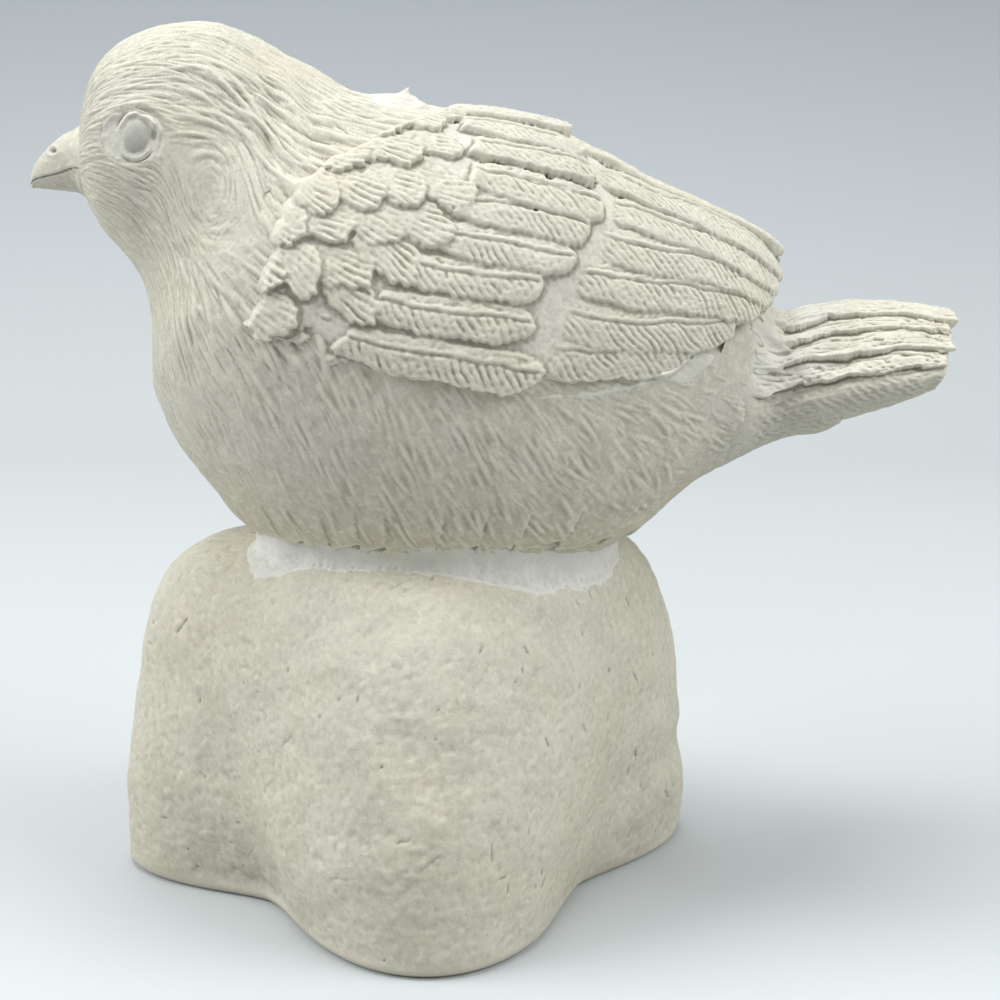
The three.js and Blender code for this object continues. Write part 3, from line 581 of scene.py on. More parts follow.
def body_points(station, angle, lift=0.0):
    """Points over the body: stations run from beak to tail, angles from the crown line to the bird's left."""
    rails = catmull(BODY_STATIONS, station)
    crown, keel, half = rails[..., 0:2], rails[..., 2:4], rails[..., 4]
    tall = np.linalg.norm(crown - keel, axis=-1)
    upright = (crown - keel) / tall[..., None]
    middle = (crown + keel) / 2
    turn = np.radians(angle)
    up = (tall / 2 + lift) * np.cos(turn)
    across = -(half + lift) * np.sin(turn) * (1 - BODY_FULLNESS * np.cos(turn))
    x = middle[..., 0] + upright[..., 0] * up
    z = middle[..., 1] + upright[..., 1] * up + SEAT_HEIGHT
    return spots(x, across, z)


def eye_axes(side):
    """An eye's origin on the head, and unit vectors to the tail, up and out."""
    station, angle = EYE_PLACE
    origin = body_points(station, side * angle)
    back = body_points(station + 0.05, side * angle) - origin
    up = body_points(station, side * (angle - 1)) - origin
    up /= np.linalg.norm(up)
    out = np.cross(back, up) * side
    out /= np.linalg.norm(out)
    right = np.cross(up, out)
    right /= np.linalg.norm(right)
    return origin, right * np.sign(right[0]), np.cross(out, right), out


def on_eye(points, side):
    """Coordinates of points in an eye's axes."""
    origin, back, up, out = eye_axes(side)
    away = points - origin
    return away @ back, away @ up, away @ out


def heading(station, angle):
    """Direction of the feather strokes in degrees: 0 runs to the tail, 90 runs down the bird's side."""
    rear = smooth(5.6, 7.6, station) * (1 - 0.75 * smooth(10.4, 12, station))
    turn = 44 * rear * band(70, 98, 112, 160, angle) + 18 * rear * band(105, 140, 160, 180, angle)
    turn = turn + 16 * smooth(3.5, 5.5, station) * (1 - rear) * smooth(80, 120, angle)
    for middle_station, middle_angle, reach in SWIRLS:
        dx, dy = (station - middle_station) * HEAD_PACE, (angle - middle_angle) * HEAD_GIRTH
        near = bump(np.hypot(dx, dy) / reach)
        tangent = np.degrees(np.arctan2(dx, -dy))
        turn = turn + near * ((tangent - turn + 90) % 180 - 90)
    return turn


def seam(station, angle):
    """Where the strokes round the cheek meet the others head on, from 0 to 1."""
    dx, dy = (station - CHEEK[0]) * HEAD_PACE, (angle - CHEEK[1]) * HEAD_GIRTH
    near = bump(np.hypot(dx, dy) / CHEEK[2])
    apart = (np.degrees(np.arctan2(dx, -dy)) + 90) % 180 - 90
    return bump((np.abs(apart) - 90) / 24) * 4 * near * (1 - near)


def trace(grid, rng, odds, count, length, width, height, wander=8.0, steps=24, spread=(3, 5)):
    """Feather strokes on the body: a field of heights of strokes that follow the heading."""
    station, angle, points, pace, girth = grid
    unit_s, unit_a = station[1, 0] - station[0, 0], angle[0, 1] - angle[0, 0]
    field = np.zeros(points.shape[:2])
    rows, cols = field.shape
    weight = (pace * girth * odds).ravel()
    seeds = rng.choice(weight.size, count, p=weight / weight.sum())
    row, col = seeds // cols, seeds % cols
    s = station[row, 0] + rng.uniform(-0.5, 0.5, count) * unit_s
    a = angle[0, col] + rng.uniform(-0.5, 0.5, count) * unit_a
    long, wide, tall = (rng.uniform(*ends, count) for ends in (length, width, height))
    long = long / steps
    astray = rng.normal(0, wander, count)
    curl = rng.normal(0, wander, count) / steps
    for step in range(steps):
        row = np.clip(np.round((s - station[0, 0]) / unit_s), 0, rows - 1).astype(int)
        col = np.round((a - angle[0, 0]) / unit_a).astype(int) % cols
        taper = math.sin(math.pi * (step + 0.7) / (steps + 0.4)) ** 0.7
        stamp(field, points, row, col, body_points(s, a), wide, tall * taper, spread)
        side = np.where(a < 0, -1.0, 1.0)
        turn = np.radians(heading(s, np.abs(a)) + astray + curl * step)
        s = np.clip(s + long * np.cos(turn) / pace[row, col], 0.02, LAST_STATION - 0.02)
        a = (a + side * long * np.sin(turn) / girth[row, col] + 180) % 360 - 180
    return field


def round_noise(turn, size, seed):
    """Noise that runs round the belly's axis."""
    return flat_noise(np.cos(turn) * BELLY_ROUND, np.sin(turn) * BELLY_ROUND, size, size, seed)


def serration(points):
    """The belly's lowest feather tips, which end in a row of teeth over the paste."""
    turn = np.arctan2(points[..., 1], points[..., 0] - BELLY_MIDDLE)
    tooth = (turn * 4.6 + 0.5 * round_noise(turn, 9.0, 38)) % 1.0
    over = points[..., 2] - (BELLY_HEM + 1.9 * tooth**0.8 + 0.6 * round_noise(turn, 5.0, 39))
    return 0.45 * band(-0.12, 0.15, 1.0, 7.0, over)


def body_grid():
    """Stations, angles and points of the body, and millimetres to a station and to a degree at each point."""
    rows, cols = BODY_GRID
    station = np.linspace(0, LAST_STATION, rows)[:, None]
    angle = round_angles(cols)
    points = body_points(station, angle)
    pace = pace_of(points, 0) / (station[1, 0] - station[0, 0])
    girth = np.linalg.norm(np.roll(points, -1, 1) - points, axis=-1) / (angle[0, 1] - angle[0, 0])
    return station, angle, points, pace, girth


def cheek_distance(station, flank):
    """Distance from the middle of the cheek, in millimetres."""
    return np.hypot((station - CHEEK[0]) * CHEEK_PACE, (flank - CHEEK[1]) * HEAD_GIRTH)


def feather_strokes(grid, rng):
    """Heights of the body's strokes and grooves, calmer at the cheek and where strokes meet head on."""
    station, angle = grid[:2]
    flank = np.abs(angle)
    bare = 1 - 0.97 * band(6.0, 6.4, 11.3, 11.8, station) * (1 - smooth(72, 80, flank))  # not under the wings
    head = (1 - smooth(3.8, 5.0, station)) * bare
    neck = band(2.4, 3.4, 5.2, 6.4, station) * (1 - smooth(95, 130, flank)) * bare
    front = smooth(3.6, 5.0, station) * bare
    hem = smooth(6.2, 7.2, station) * band(82, 90, 118, 150, flank)
    locks = bump((station - 3.9) / 1.3) * bump((flank - 48) / 17)
    quiet = 1 - 0.6 * smooth(98, 132, flank) * smooth(5.6, 7.2, station)
    fold = trace(grid, rng, locks, **FOLDS)
    rise = trace(grid, rng, head, **HEAD_STROKES)
    rise = np.maximum(rise, trace(grid, rng, neck, **NECK_STROKES))
    rise = np.maximum(rise, quiet * trace(grid, rng, front, **FRONT_STROKES))
    rise = np.maximum(rise, trace(grid, rng, hem, **HEM_STROKES))
    low = trace(grid, rng, head + 0.6 * neck, **HEAD_GROOVES)
    whorl = bump(cheek_distance(station, flank) / CHEEK[2])
    calm = (1 - 0.8 * np.clip(seam(station, flank), 0, 1)) * smooth(0.05, 0.6, station)
    return ((rise + fold) * (1 - 0.5 * whorl) - low * (1 - 0.6 * whorl)) * calm


def cheek_arcs(station, flank, points):
    """Heights of the arcs scored round the lower cheek."""
    away = cheek_distance(station, flank)
    ring = (away + layered(points, [(0.7, 4.0, 42), (0.2, 1.5, 43)])) / 0.75
    arcs = teeth(ring) * smooth(-0.4, 0.3, noise(points, 3.0, 44))
    below = ((flank - CHEEK[1]) * HEAD_GIRTH + (station - CHEEK[0]) * 4.0) / (away + 1)
    return 0.13 * arcs * smooth(-0.5, 0.5, below) * bump(away / CHEEK[2]) * smooth(0.8, 2.2, away)


def body_form(station, flank):
    """Broad rises and hollows: the fillet at the beak, the neck with its locks, and the rear end."""
    form = 0.4 * bump((station - 0.3) / 0.35) - 1.6 * smooth(11.3, 11.9, station)
    form = form - 0.8 * bump((station - 4.6) / 0.8) * band(35, 55, 95, 125, flank)
    for lock_station, lock_angle, depth in LOCKS:
        across = (flank - lock_angle - LOCK_SLANT * (station - lock_station)) * 0.3
        form = form - depth * bump(across / 1.7) * bump((station - lock_station) / 0.4)
    return form


def press_eye(points, rise, side):
    """The relief with an eye's socket pressed in and a brow over it."""
    x, y, out = on_eye(points, side)
    ring = np.hypot((x + 0.9) / 5.4, (y + 0.5) / 4.0)
    socket = rise * smooth(0.9, 1.15, ring) - 0.55 * (1 - smooth(0.8, 1.02, ring))
    brow = bump((np.hypot(x / 6.4, (y + 0.6) / 5.6) - 1) / 0.14) * smooth(-0.5, 3.0, y)
    return np.where(np.abs(out) < 9, socket + 0.3 * brow, rise)


def body_skin():
    """The body with its strokes, its broad form and the sockets of its eyes."""
    grid = body_grid()
    station, angle, points = grid[:3]
    flank = np.abs(angle)
    normals = grid_normals(points)
    normals *= np.sign(np.einsum("ijk,ijk->ij", normals, points - points.mean(1, keepdims=True))).mean()
    rise = feather_strokes(grid, np.random.default_rng(BODY_SEED)) + cheek_arcs(station, flank, points)
    rise = rise + layered(points, BODY_LUMPS) * (0.4 + smooth(2.5, 4.5, station))
    rise = rise + serration(points) + body_form(station, flank)
    for side in (1, -1):
        rise = press_eye(points, rise, side)
    return skin_of(points + normals * rise[..., None])


# Beak

def beak_rails(share):
    """Top line, underside and half width of the beak. share runs from 0 at the head to 1 at the tip."""
    crown, keel = body_points(0.0, 0.0), body_points(0.0, 180.0)
    ahead = np.clip(share, 0, 1)
    tip_x, tip_z = keel[0] - BEAK_LENGTH, keel[2] + BEAK_TIP / 2
    hook = 0.35 * smooth(0.55, 0.9, ahead) - 0.5 * smooth(0.86, 1, ahead)
    arch = BEAK_ARCH * 4 * ahead * (1 - ahead) + hook
    crown_x, keel_x = (between((root[0], tip_x), share) for root in (crown, keel))
    crown_z = between((crown[2], tip_z + BEAK_TIP), ahead) + arch
    keel_z = between((keel[2], tip_z), ahead) - 0.35 * smooth(0.9, 1.0, ahead)
    width = between((BODY_STATIONS[0, 4], BEAK_TIP / 2), ahead**1.5)
    return crown_x, crown_z, keel_x, keel_z, width


def beak_skin():
    """The beak with its mouth line, nostrils and gape."""
    rows, cols = BEAK_GRID
    share = np.linspace(-0.2, 1, rows)[:, None]
    angle = (np.arange(cols) / cols * 360)[None, :]
    from_top = np.minimum(angle, 360 - angle)
    ahead = np.clip(share, 0, 1)
    crown_x, crown_z, keel_x, keel_z, width = beak_rails(share)
    blunt = np.sqrt(np.clip(1 - np.clip((share - 0.93) / 0.07, 0, 1) ** 2, 0.02, 1))
    flare = 1.5 * (1 - smooth(-0.2, 0.24, share))
    tall, width = (crown_z - keel_z) / 2 + flare, width + 0.8 * flare
    line = BEAK_MOUTH - 10 * smooth(0.5, 0.0, ahead) - 3 * smooth(0.7, 1.0, ahead)
    gap = np.radians(from_top - line) * np.maximum(width, tall)
    fade = smooth(-0.02, 0.05, share)
    mouth = 0.1 * bump((gap + 0.55) / 0.4) - (0.32 * bump(gap / 0.15) + 0.12 * smooth(0.0, 0.6, gap)) * fade
    turn = np.radians(angle)
    x = between((crown_x, keel_x), from_top / 180)
    z = (crown_z + keel_z) / 2 + (tall * blunt + mouth) * np.cos(turn)
    points = spots(x, -(width * blunt + mouth) * np.sin(turn), z)
    normals = grid_normals(points)
    normals *= np.sign((normals[..., 2] * np.cos(turn)).sum())
    nostril = np.hypot((x - BEAK_NOSTRIL[0]) / 0.8, (z - BEAK_NOSTRIL[1]) / 0.5)
    nostril = np.where(np.abs(from_top - 62) < 38, nostril, 9)
    gape = bump((share - 0.03) / 0.05) * bump((from_top - BEAK_MOUTH - 22) / 24)
    rise = 0.22 * bump((nostril - 1.3) / 0.7) - 0.4 * bump(nostril) + 0.45 * gape
    rise = rise + layered(points, [(0.05, 1.6, 7), (0.03, 0.7, 8)])
    skin = skin_of(points + normals * (rise * blunt)[..., None])
    # painted shade in the nostrils and along the mouth line
    dark = 0.45 * bump(nostril / 0.7) + 0.3 * bump(gap / 0.12) * fade * (ahead < 0.98)
    skin["pit_shade"] = np.append(dark.ravel(), [0, 0])
    return skin


# Eyes

def eye_skin(side):
    """An eye: an oval bead with a flattened front."""
    rows, cols = EYE_GRID
    origin, back, up, out = eye_axes(side)
    tilt = np.linspace(0.03, math.pi - 0.03, rows)[:, None]
    turn = (np.arange(cols) / cols * 2 * math.pi)[None, :]
    ball = spots(np.sin(tilt) * np.cos(turn), np.sin(tilt) * np.sin(turn), np.cos(tilt))
    ball *= 1 + layered(ball, [(0.03, 0.8, 9), (0.012, 0.25, 10)])[..., None]
    x, y, z = (ball[..., k] * EYE_SIZE[k] / 2 for k in range(3))
    z = np.sign(z) * EYE_SIZE[2] / 2 * np.abs(2 * z / EYE_SIZE[2]) ** 0.4
    z = z + EYE_PROUD - EYE_SIZE[2] / 2
    return skin_of(origin + x[..., None] * back + y[..., None] * up + z[..., None] * out)


def eye_filler_skin(tree, side):
    """The paste pressed in round an eye: a flat patch towards the beak, a lid above and a lip below."""
    rows, cols = EYE_PASTE_GRID
    origin, back, up, out = eye_axes(side)
    x, y = np.meshgrid(np.linspace(*EYE_PASTE_REACH[0], cols), np.linspace(*EYE_PASTE_REACH[1], rows))
    start = origin + x[..., None] * back + y[..., None] * up + 6.0 * out
    ring = np.hypot(x / (EYE_SIZE[0] / 2), y / (EYE_SIZE[1] / 2))
    turn = np.degrees(np.arctan2(y, x))
    wide, tall = np.where(x < 0, 7.1, 4.9), np.where(y > 0, 4.3, 5.2)
    edge = (np.abs(x / wide) ** 2.8 + np.abs(y / tall) ** 2.8) ** (1 / 2.8)
    inside = 3.5 * (1 - edge) + 0.25 * flat_noise(x, y, 2.2, 2.2, 11) + 0.06 * flat_noise(x, y, 0.7, 0.7, 12)
    lid = bump((ring - 1.28) / 0.13) * band(5, 40, 150, 175, turn)
    fold = bump((ring - 1.52) / 0.08) * band(30, 60, 150, 175, turn)
    lip = bump((ring - 1.2) / 0.12) * band(20, 50, 120, 150, -turn)
    line = bump((ring - 1.42) / 0.06) * band(30, 55, 105, 130, -turn)
    gap = bump(np.hypot((x - 2.7) / 0.5, (y - 0.5) / 0.8))
    thick = 0.42 + 0.26 * lid - 0.25 * fold + 0.2 * lip - 0.25 * line - 0.6 * gap
    thick = thick + 0.08 * flat_noise(x, y, 1.4, 1.4, 13) + 0.03 * flat_noise(x, y, 0.5, 0.5, 48)
    skin = smear([tree], start, -out, inside, thick, rounds=10, white=EYE_PASTE_WHITE)
    # painted shade in the paste's line, gap and fold
    dark = np.clip(0.35 * line + 0.45 * gap + 0.1 * fold, 0, 1) * (inside > 0)
    skin["pit_shade"] = np.append(np.concatenate([dark, 0 * dark], axis=1).ravel(), [0, 0])
    return skin


# Feathers

def outline(share, root, rounding):
    """Half width along a feather as a share of its greatest."""
    swell = root + (1 - root) * smooth(-0.05, 0.25, share)
    close = np.clip((share - 1 + rounding) / rounding, 0, 1)
    return swell * np.sqrt(np.maximum(1 - close**2, 0))


def barbs(x, y, away, share, tier, seed, rng):
    """A feather's barbs: how far each point lies in a groove between them, and their relief."""
    sway = flat_noise(x, y, 3.5, 3.5, seed)
    if tier["even"]:
        phase = y / tier["barb"] * (1.5 - 0.6 * share) + 0.3 * sway + 0.3
        reach = smooth(0.3, 0.6, share + 0.15 * sway)
    else:
        phase = (x - tier["barb_slope"] * np.abs(y + QUILL * tier["half"])) / tier["barb"] + 0.4 * sway
        reach = smooth(0.1, 0.5, np.abs(away)) * np.where(away > 0, 1.0, 0.25) * smooth(0.0, 0.1, share)
    cut = np.round(phase)
    strength = rng.uniform(0.35, 1.0, 64)[cut.astype(int) % 64]
    groove = bump((phase - cut) / 0.2) * strength
    facet = phase - np.floor(phase) - 0.5
    return groove, (0.3 * facet - groove) * tier["barb_depth"] * reach


def vane_edge(x, y, length, groove, tier, seed):
    """How far inside a feather's frayed outline each point lies, and the half width there."""
    share = x / length
    step = 0.01
    before, width, after = (
        tier["half"] * outline(share + k * step, tier["root"], tier["round"]) for k in (-1, 0, 1)
    )
    spread = (after - before) / (2 * step * length)
    frayed = 0.4 * groove * smooth(0.2, 0.6, share) + 0.5 * flat_noise(x, np.sign(y) * 5, 4.0, 1.0, seed + 9)
    frayed = frayed + 0.7 * flat_noise(x, np.sign(y) * 9, 1.8, 1.0, seed + 2)
    inside = (width - np.abs(y) - tier["ragged"] * frayed) / np.sqrt(1 + spread**2)
    inside = np.where(share > 1, -np.hypot(x - length, y) - 0.01, inside)
    return np.minimum(inside, x + 0.5), width


def vane(x, y, length, tier, rng):
    """A feather's relief over a flat plate, and how far inside its outline each point lies.

    x runs along the feather and y across, in millimetres.
    """
    seed = rng.integers(1, 90)
    half, warp = tier["half"], tier["warp"]
    flat_x, flat_y = x, y
    x = x + warp * (flat_noise(x, y, 5.0, 4.0, seed + 4) + 0.5 * flat_noise(x, y, 1.7, 1.7, seed + 8))
    y = y + warp * (flat_noise(x, y, 6.0, 5.0, seed + 5) + 0.4 * flat_noise(x, y, 1.7, 1.7, seed + 6))

    def ripple(size_x, size_y, layer):
        return flat_noise(x, y, size_x, size_y, seed + layer)

    away = y if tier["even"] else y + QUILL * half
    groove, relief = barbs(flat_x, flat_y, away, x / length, tier, seed, rng)
    relief = relief * (0.35 + 0.65 * smooth(-0.35, 0.3, ripple(6.0, 4.0, 3)))
    slit = (1 - smooth(0.0, 0.1, np.abs(ripple(11.0, 1.4, 1)))) * np.where(away > 0, 0.3, 1.0)
    relief = relief - tier["slit"] * slit * smooth(-0.3, 0.2, ripple(5.0, 2.0, 10))
    relief = relief + tier["rough"] * ripple(1.0, 0.7, 7) + 0.06 * ripple(4.0, 0.45, 2)
    line = np.clip(1 - np.abs(away - 0.1) / 0.3, 0, 1)
    relief = relief + tier["shaft"] * (0.5 * bump((away + 0.4) / 0.45) - 1.3 * line)
    inside, width = vane_edge(x, y, length, groove, tier, seed)
    bulge = np.clip(y / np.maximum(width, 0.3), -1.2, 1.2)
    relief = relief + tier["crown"] * (1 - bulge**2) + tier["tilt"] * y / half
    near = np.clip(inside / 0.45, 0, 1)
    return relief - tier["edge"] * (1 - np.sqrt(1 - (1 - near) ** 2)), inside


def lay_feather(wing, tier, root, tip, lift, rng, thickness=None):
    """Lays a feather on a wing's grid: it shows wherever it lies above what is there."""
    station, angle = wing["station"], wing["angle"]
    length = np.linalg.norm(body_points(*tip) - body_points(*root))
    share = (station[:, 0] - root[0]) / (tip[0] - root[0])
    rows = np.flatnonzero((share > -0.15) & (share < 1.25))
    margin = 1.9 * tier["half"] / wing["girth"][rows].mean()
    low, high = min(root[1], tip[1]) - margin, max(root[1], tip[1]) + margin
    cols = np.flatnonzero((angle[0] > low) & (angle[0] < high))
    block = np.ix_(rows, cols)
    share = share[rows, None]
    bow = rng.normal(0, 0.7)
    centre = between((root[1], tip[1]), share) + bow * np.sin(math.pi * np.clip(share, 0, 1))
    y = (angle[:, cols] - centre) * wing["girth"][block]
    x = share * length + rng.normal(-0.1, 0.12) * y
    relief, inside = vane(x, y, length, tier, rng)
    ahead = np.clip(x / length, 0, 1)
    height = between((tier["root_lift"], lift), ahead ** tier.get("swoop", 1.6)) + relief
    height = height - tier.get("sink", 0.0) * (1 - smooth(0.0, 0.2, ahead))
    wins = (inside > 0) & (height > wing["top"][block])
    wing["top"][block] = np.where(wins, height, wing["top"][block])
    wing["filler"][block] = np.where(wins, 0.0, wing["filler"][block])
    if thickness is not None:
        under = between((-WING_SUNK, lift - thickness * (1 - 0.6 * ahead**8)), ahead**4)
        below = wing["bottom"][block]
        wing["bottom"][block] = np.where(inside > -0.6, np.maximum(under, below), below)
    wing["inside"][block] = np.maximum(wing["inside"][block], inside)


def wing_grid():
    """A bare wing: its grid on the body, and the fields that the feathers fill in."""
    rows, cols = WING_GRID
    station = np.linspace(*WING_REACH[0], rows)[:, None]
    angle = np.linspace(*WING_REACH[1], cols)[None, :]
    ground = body_points(station, angle, 1.5)
    wing = {"station": station, "angle": angle, "ground": ground}
    wing["pace"] = pace_of(ground, 0) / (station[1, 0] - station[0, 0])
    wing["girth"] = pace_of(ground, 1) / (angle[0, 1] - angle[0, 0])
    blank = {"top": NOTHING, "inside": NOTHING, "bottom": -WING_SUNK, "filler": 1.0, "pit_shade": 0.0}
    for key, value in blank.items():
        wing[key] = np.full((rows, cols), value)
    return wing


def lay_bed(wing):
    """The paste that the feathers lie in, with soft edges on the body."""
    station, angle, ground = wing["station"], wing["angle"], wing["ground"]
    top, bottom = (np.interp(station, *np.array(edge).T) for edge in (BED_TOP, BED_BOTTOM))
    inside = np.minimum(angle - top, bottom - angle) * wing["girth"]
    inside = inside + layered(ground, [(1.2, 3.5, 13), (0.5, 1.2, 14)])
    inside = np.minimum(inside, (station - BED_TOP[0][0]) * wing["pace"])
    inside = np.minimum(inside, (BED_TOP[-1][0] - station) * wing["pace"])
    share = np.clip((angle - 6) / 65, 0, 1)
    lift = between(PRIMARY["tip_lift"], np.sqrt(share))
    rear = np.clip((station - 8.2) / (11.6 - 1.3 * share - 8.2), 0, 1)
    channel = bump((station - 8.75) / 0.8) * smooth(22, 40, angle)
    level = BED_LIFT + 0.5 * channel + (lift - BED_LIFT - 0.9) * rear**2 + 0.16 * noise(ground, 4.0, 15)
    wing["top"] = np.where(inside > 0, between((-0.5, level), smooth(0, 3.2, inside)), wing["top"])
    wing["inside"] = np.maximum(wing["inside"], inside)


def worked(tier, share):
    """A tier's feather: the upper ones are slats with slits, the lower ones flatter and barbed."""
    return dict(tier, tilt=tier["tilt"] * (1.2 - 0.7 * share), slit=tier["slit"] * (1.7 - share),
                ragged=tier["ragged"] * (0.35 + 0.65 * share),
                root_lift=tier["root_lift"] * (1.1 - 0.35 * share),
                barb_depth=tier["barb_depth"] * (0.45 + 0.55 * share))


def lay_feathers(wing, rng):
    """Lays the tiers from the rear, so that each covers the roots of the one behind it."""
    for feather in range(PRIMARY_COUNT):
        share = feather / (PRIMARY_COUNT - 1)
        tip = along(PRIMARY_TIPS, share) + rng.normal(0, 1, 2) * (0.03, 0.5)
        tier = worked(PRIMARY, share)
        if feather == 0:
            tier.update(HORN)
        elif feather == 1:
            tier.update(round=0.4)
        lift = HORN_LIFT if feather == 0 else between(PRIMARY["tip_lift"], share**0.7)
        lay_feather(wing, tier, along(PRIMARY_ROOTS, share), tip, lift, rng, PRIMARY_THICKNESS)
    for feather in range(SECONDARY_COUNT):
        share = feather / (SECONDARY_COUNT - 1)
        lift = between(SECONDARY["tip_lift"], math.sqrt(share)) + rng.normal(0, 0.12)
        tip = along(SECONDARY_TIPS, share) + rng.normal(0, 1, 2) * (0.09, 0.6)
        lay_feather(wing, worked(SECONDARY, share), along(SECONDARY_ROOTS, share), tip, lift, rng)
    for first, last, count in SCALE_ROWS:
        for scale in range(count):
            tip = between(np.array([first, last]), scale / (count - 1)) + rng.normal(0, 1, 2) * (0.04, 1.2)
            size = rng.uniform(0.85, 1.15)
            root = tip - (SCALE_LENGTH * size, rng.normal(1.0, 2.5))
            lift = (SCALE["tip_lift"] + rng.normal(0, 0.2)) * (0.7 + 0.3 * smooth(15, 50, tip[1]))
            lay_feather(wing, dict(SCALE, half=SCALE["half"] * size), root, tip, lift, rng)
    for _ in range(TUFT_COUNT):
        tip = rng.uniform((5.85, 83), (7.0, 97))
        root = tip - (rng.uniform(0.3, 0.5), rng.normal(-3, 3))
        tier = dict(TUFT, half=TUFT["half"] * rng.uniform(0.7, 1.2))
        lay_feather(wing, tier, root, tip, TUFT["tip_lift"], rng)


def press_paste(wing):
    """Rounds the feathers and presses paste into the deep gaps. Returns the level round each point."""
    within = (wing["inside"] > 0).astype(float)
    rounded = soften(wing["top"] * within, 3) / np.maximum(soften(within, 3), 0.01)
    top = np.where(within > 0, rounded, wing["top"])
    level = soften(np.maximum(top, -0.3), 15)
    amount = 0.1 + 0.9 * smooth(38, 68, wing["angle"]) + 0.55 * noise(wing["ground"], 7.0, 16)
    fill = np.clip(level - top - 0.08, 0, 1.6) * np.clip(amount, 0, 1) * within
    wing["top"] = top + 0.9 * fill
    wing["filler"] = 0.45 * np.maximum(wing["filler"], smooth(0.05, 0.3, fill))
    return level


def pit_paste(wing, level, rng):
    """Leaves air holes in a wing's hollows, with painted shade inside them."""
    top, ground, pit_shade = wing["top"], wing["ground"], wing["pit_shade"]
    slope = np.hypot(*np.gradient(top)) / pace_of(ground, 1)
    hollow = (level - top > 0.22) & (slope < 0.7) & (wing["inside"] > 1.2) & (wing["station"] < 10.8)
    for spot in rng.choice(np.flatnonzero(hollow), PIT_COUNT, replace=False):
        row, col = divmod(spot, top.shape[1])
        near = tuple(slice(max(0, k - PIT_REACH), k + PIT_REACH + 1) for k in (row, col))
        wide = rng.uniform(0.16, 0.34)
        reach = (ground[near] - ground[row, col]) * (rng.uniform(0.3, 0.9), 1, 1)
        gap = np.linalg.norm(reach, axis=-1) / wide + 0.3 * noise(ground[near], 0.4, 20)
        hole = bump(np.maximum(gap, 0) ** 1.5)
        top[near] -= rng.uniform(0.5, 1.0) * hole
        pit_shade[near] = np.maximum(pit_shade[near], smooth(0.35, 0.75, hole))


def run_out_front(wing):
    """Roughens a wing and runs its front edge down into the body."""
    ground = wing["ground"]
    top = wing["top"] + layered(ground, [(0.04, 0.8, 17), (0.08, 2.2, 18)])
    front = np.interp(wing["angle"], *np.array(FRONT_EDGE).T)
    ramp = smooth(0.0, 3.5, (wing["station"] - front) * wing["pace"] + 0.8 * noise(ground, 2.5, 22))
    wing["top"] = np.where(wing["inside"] > 0, between((-1.7, top), ramp), top)


def around(grid):
    """The grid moved by a cell in each direction, and as it is."""
    return [np.roll(grid, shift, (0, 1)) for shift in itertools.product((-1, 0, 1), repeat=2)]


def on_rim(wing, rim):
    """Stations and angles of a wing's grid, with its rim moved on to the outline."""
    inside, pace, girth = wing["inside"], wing["pace"], wing["girth"]
    station, angle = np.meshgrid(wing["station"][:, 0], wing["angle"][0], indexing="ij")
    slope_s = np.gradient(inside, axis=0) / (station[1, 0] - station[0, 0]) / pace
    slope_a = np.gradient(inside, axis=1) / (angle[0, 1] - angle[0, 0]) / girth
    steep = np.sqrt(slope_s**2 + slope_a**2 + 1e-9)
    step = np.clip(np.where(rim, -inside, 0.0) / steep, -RIM_LIMIT, RIM_LIMIT) / steep
    return station + step * slope_s / pace, angle + step * slope_a / girth


def sheet_faces(core, grown):
    """Faces of a sheet over the grown cells and under the core. Both sides share the rim's points."""
    rows, cols = core.shape
    over = np.full((rows, cols), -1)
    over[grown] = np.arange(grown.sum())
    under = over.copy()
    under[core] = grown.sum() + np.arange(core.sum())
    row, col = np.meshgrid(np.arange(rows - 1), np.arange(cols - 1), indexing="ij")
    corners = [(row, col), (row, col + 1), (row + 1, col + 1), (row + 1, col)]
    whole = np.all([grown[c] for c in corners], 0) & np.any([core[c] for c in corners], 0)
    chart = np.stack([np.stack([c / cols, r / rows], -1) for r, c in corners], -2)[whole]
    faces = []
    for table, low, high, order in ((over, 0.3, 1.0, [0, 1, 2, 3]), (under, 0.0, 0.28, [3, 2, 1, 0])):
        index = np.stack([table[c] for c in corners], -1)[whole]
        places = chart * (1, high - low) + (0, low)
        faces.append((index[:, order], places[:, order]))
    return faces


def sheet_skin(wing, side):
    """A closed sheet over the part of the grid that lies inside, with its rim moved on to the outline."""
    core = wing["inside"] > 0
    grown = np.any(around(core), 0)
    grown[[0, -1]] = core[[0, -1]]
    grown[:, [0, -1]] = core[:, [0, -1]]
    rim = grown & ~core
    station, angle = on_rim(wing, rim)
    rim_low = np.max(around(np.where(core, wing["bottom"], NOTHING)), 0)
    top = body_points(station, side * angle, np.where(rim, rim_low, wing["top"]))
    bottom = body_points(station, side * angle, np.minimum(wing["bottom"], wing["top"] - 0.25))
    for points in (top, bottom):
        points[..., 0] += WING_OVERHANG * smooth(10.6, 12.2, station)
    skin = {"points": np.vstack([top[grown], bottom[core]]), "faces": sheet_faces(core, grown)}
    for key in ("filler", "pit_shade"):
        skin[key] = np.concatenate([wing[key][grown], wing[key][core]])
    return skin


def wing_skin(side, seed):
    """A wing: feathers in a bed of paste, as one closed sheet."""
    rng = np.random.default_rng(seed)
    wing = wing_grid()
    lay_bed(wing)
    lay_feathers(wing, rng)
    level = press_paste(wing)
    pit_paste(wing, level, rng)
    run_out_front(wing)
    return sheet_skin(wing, side)


# Tail

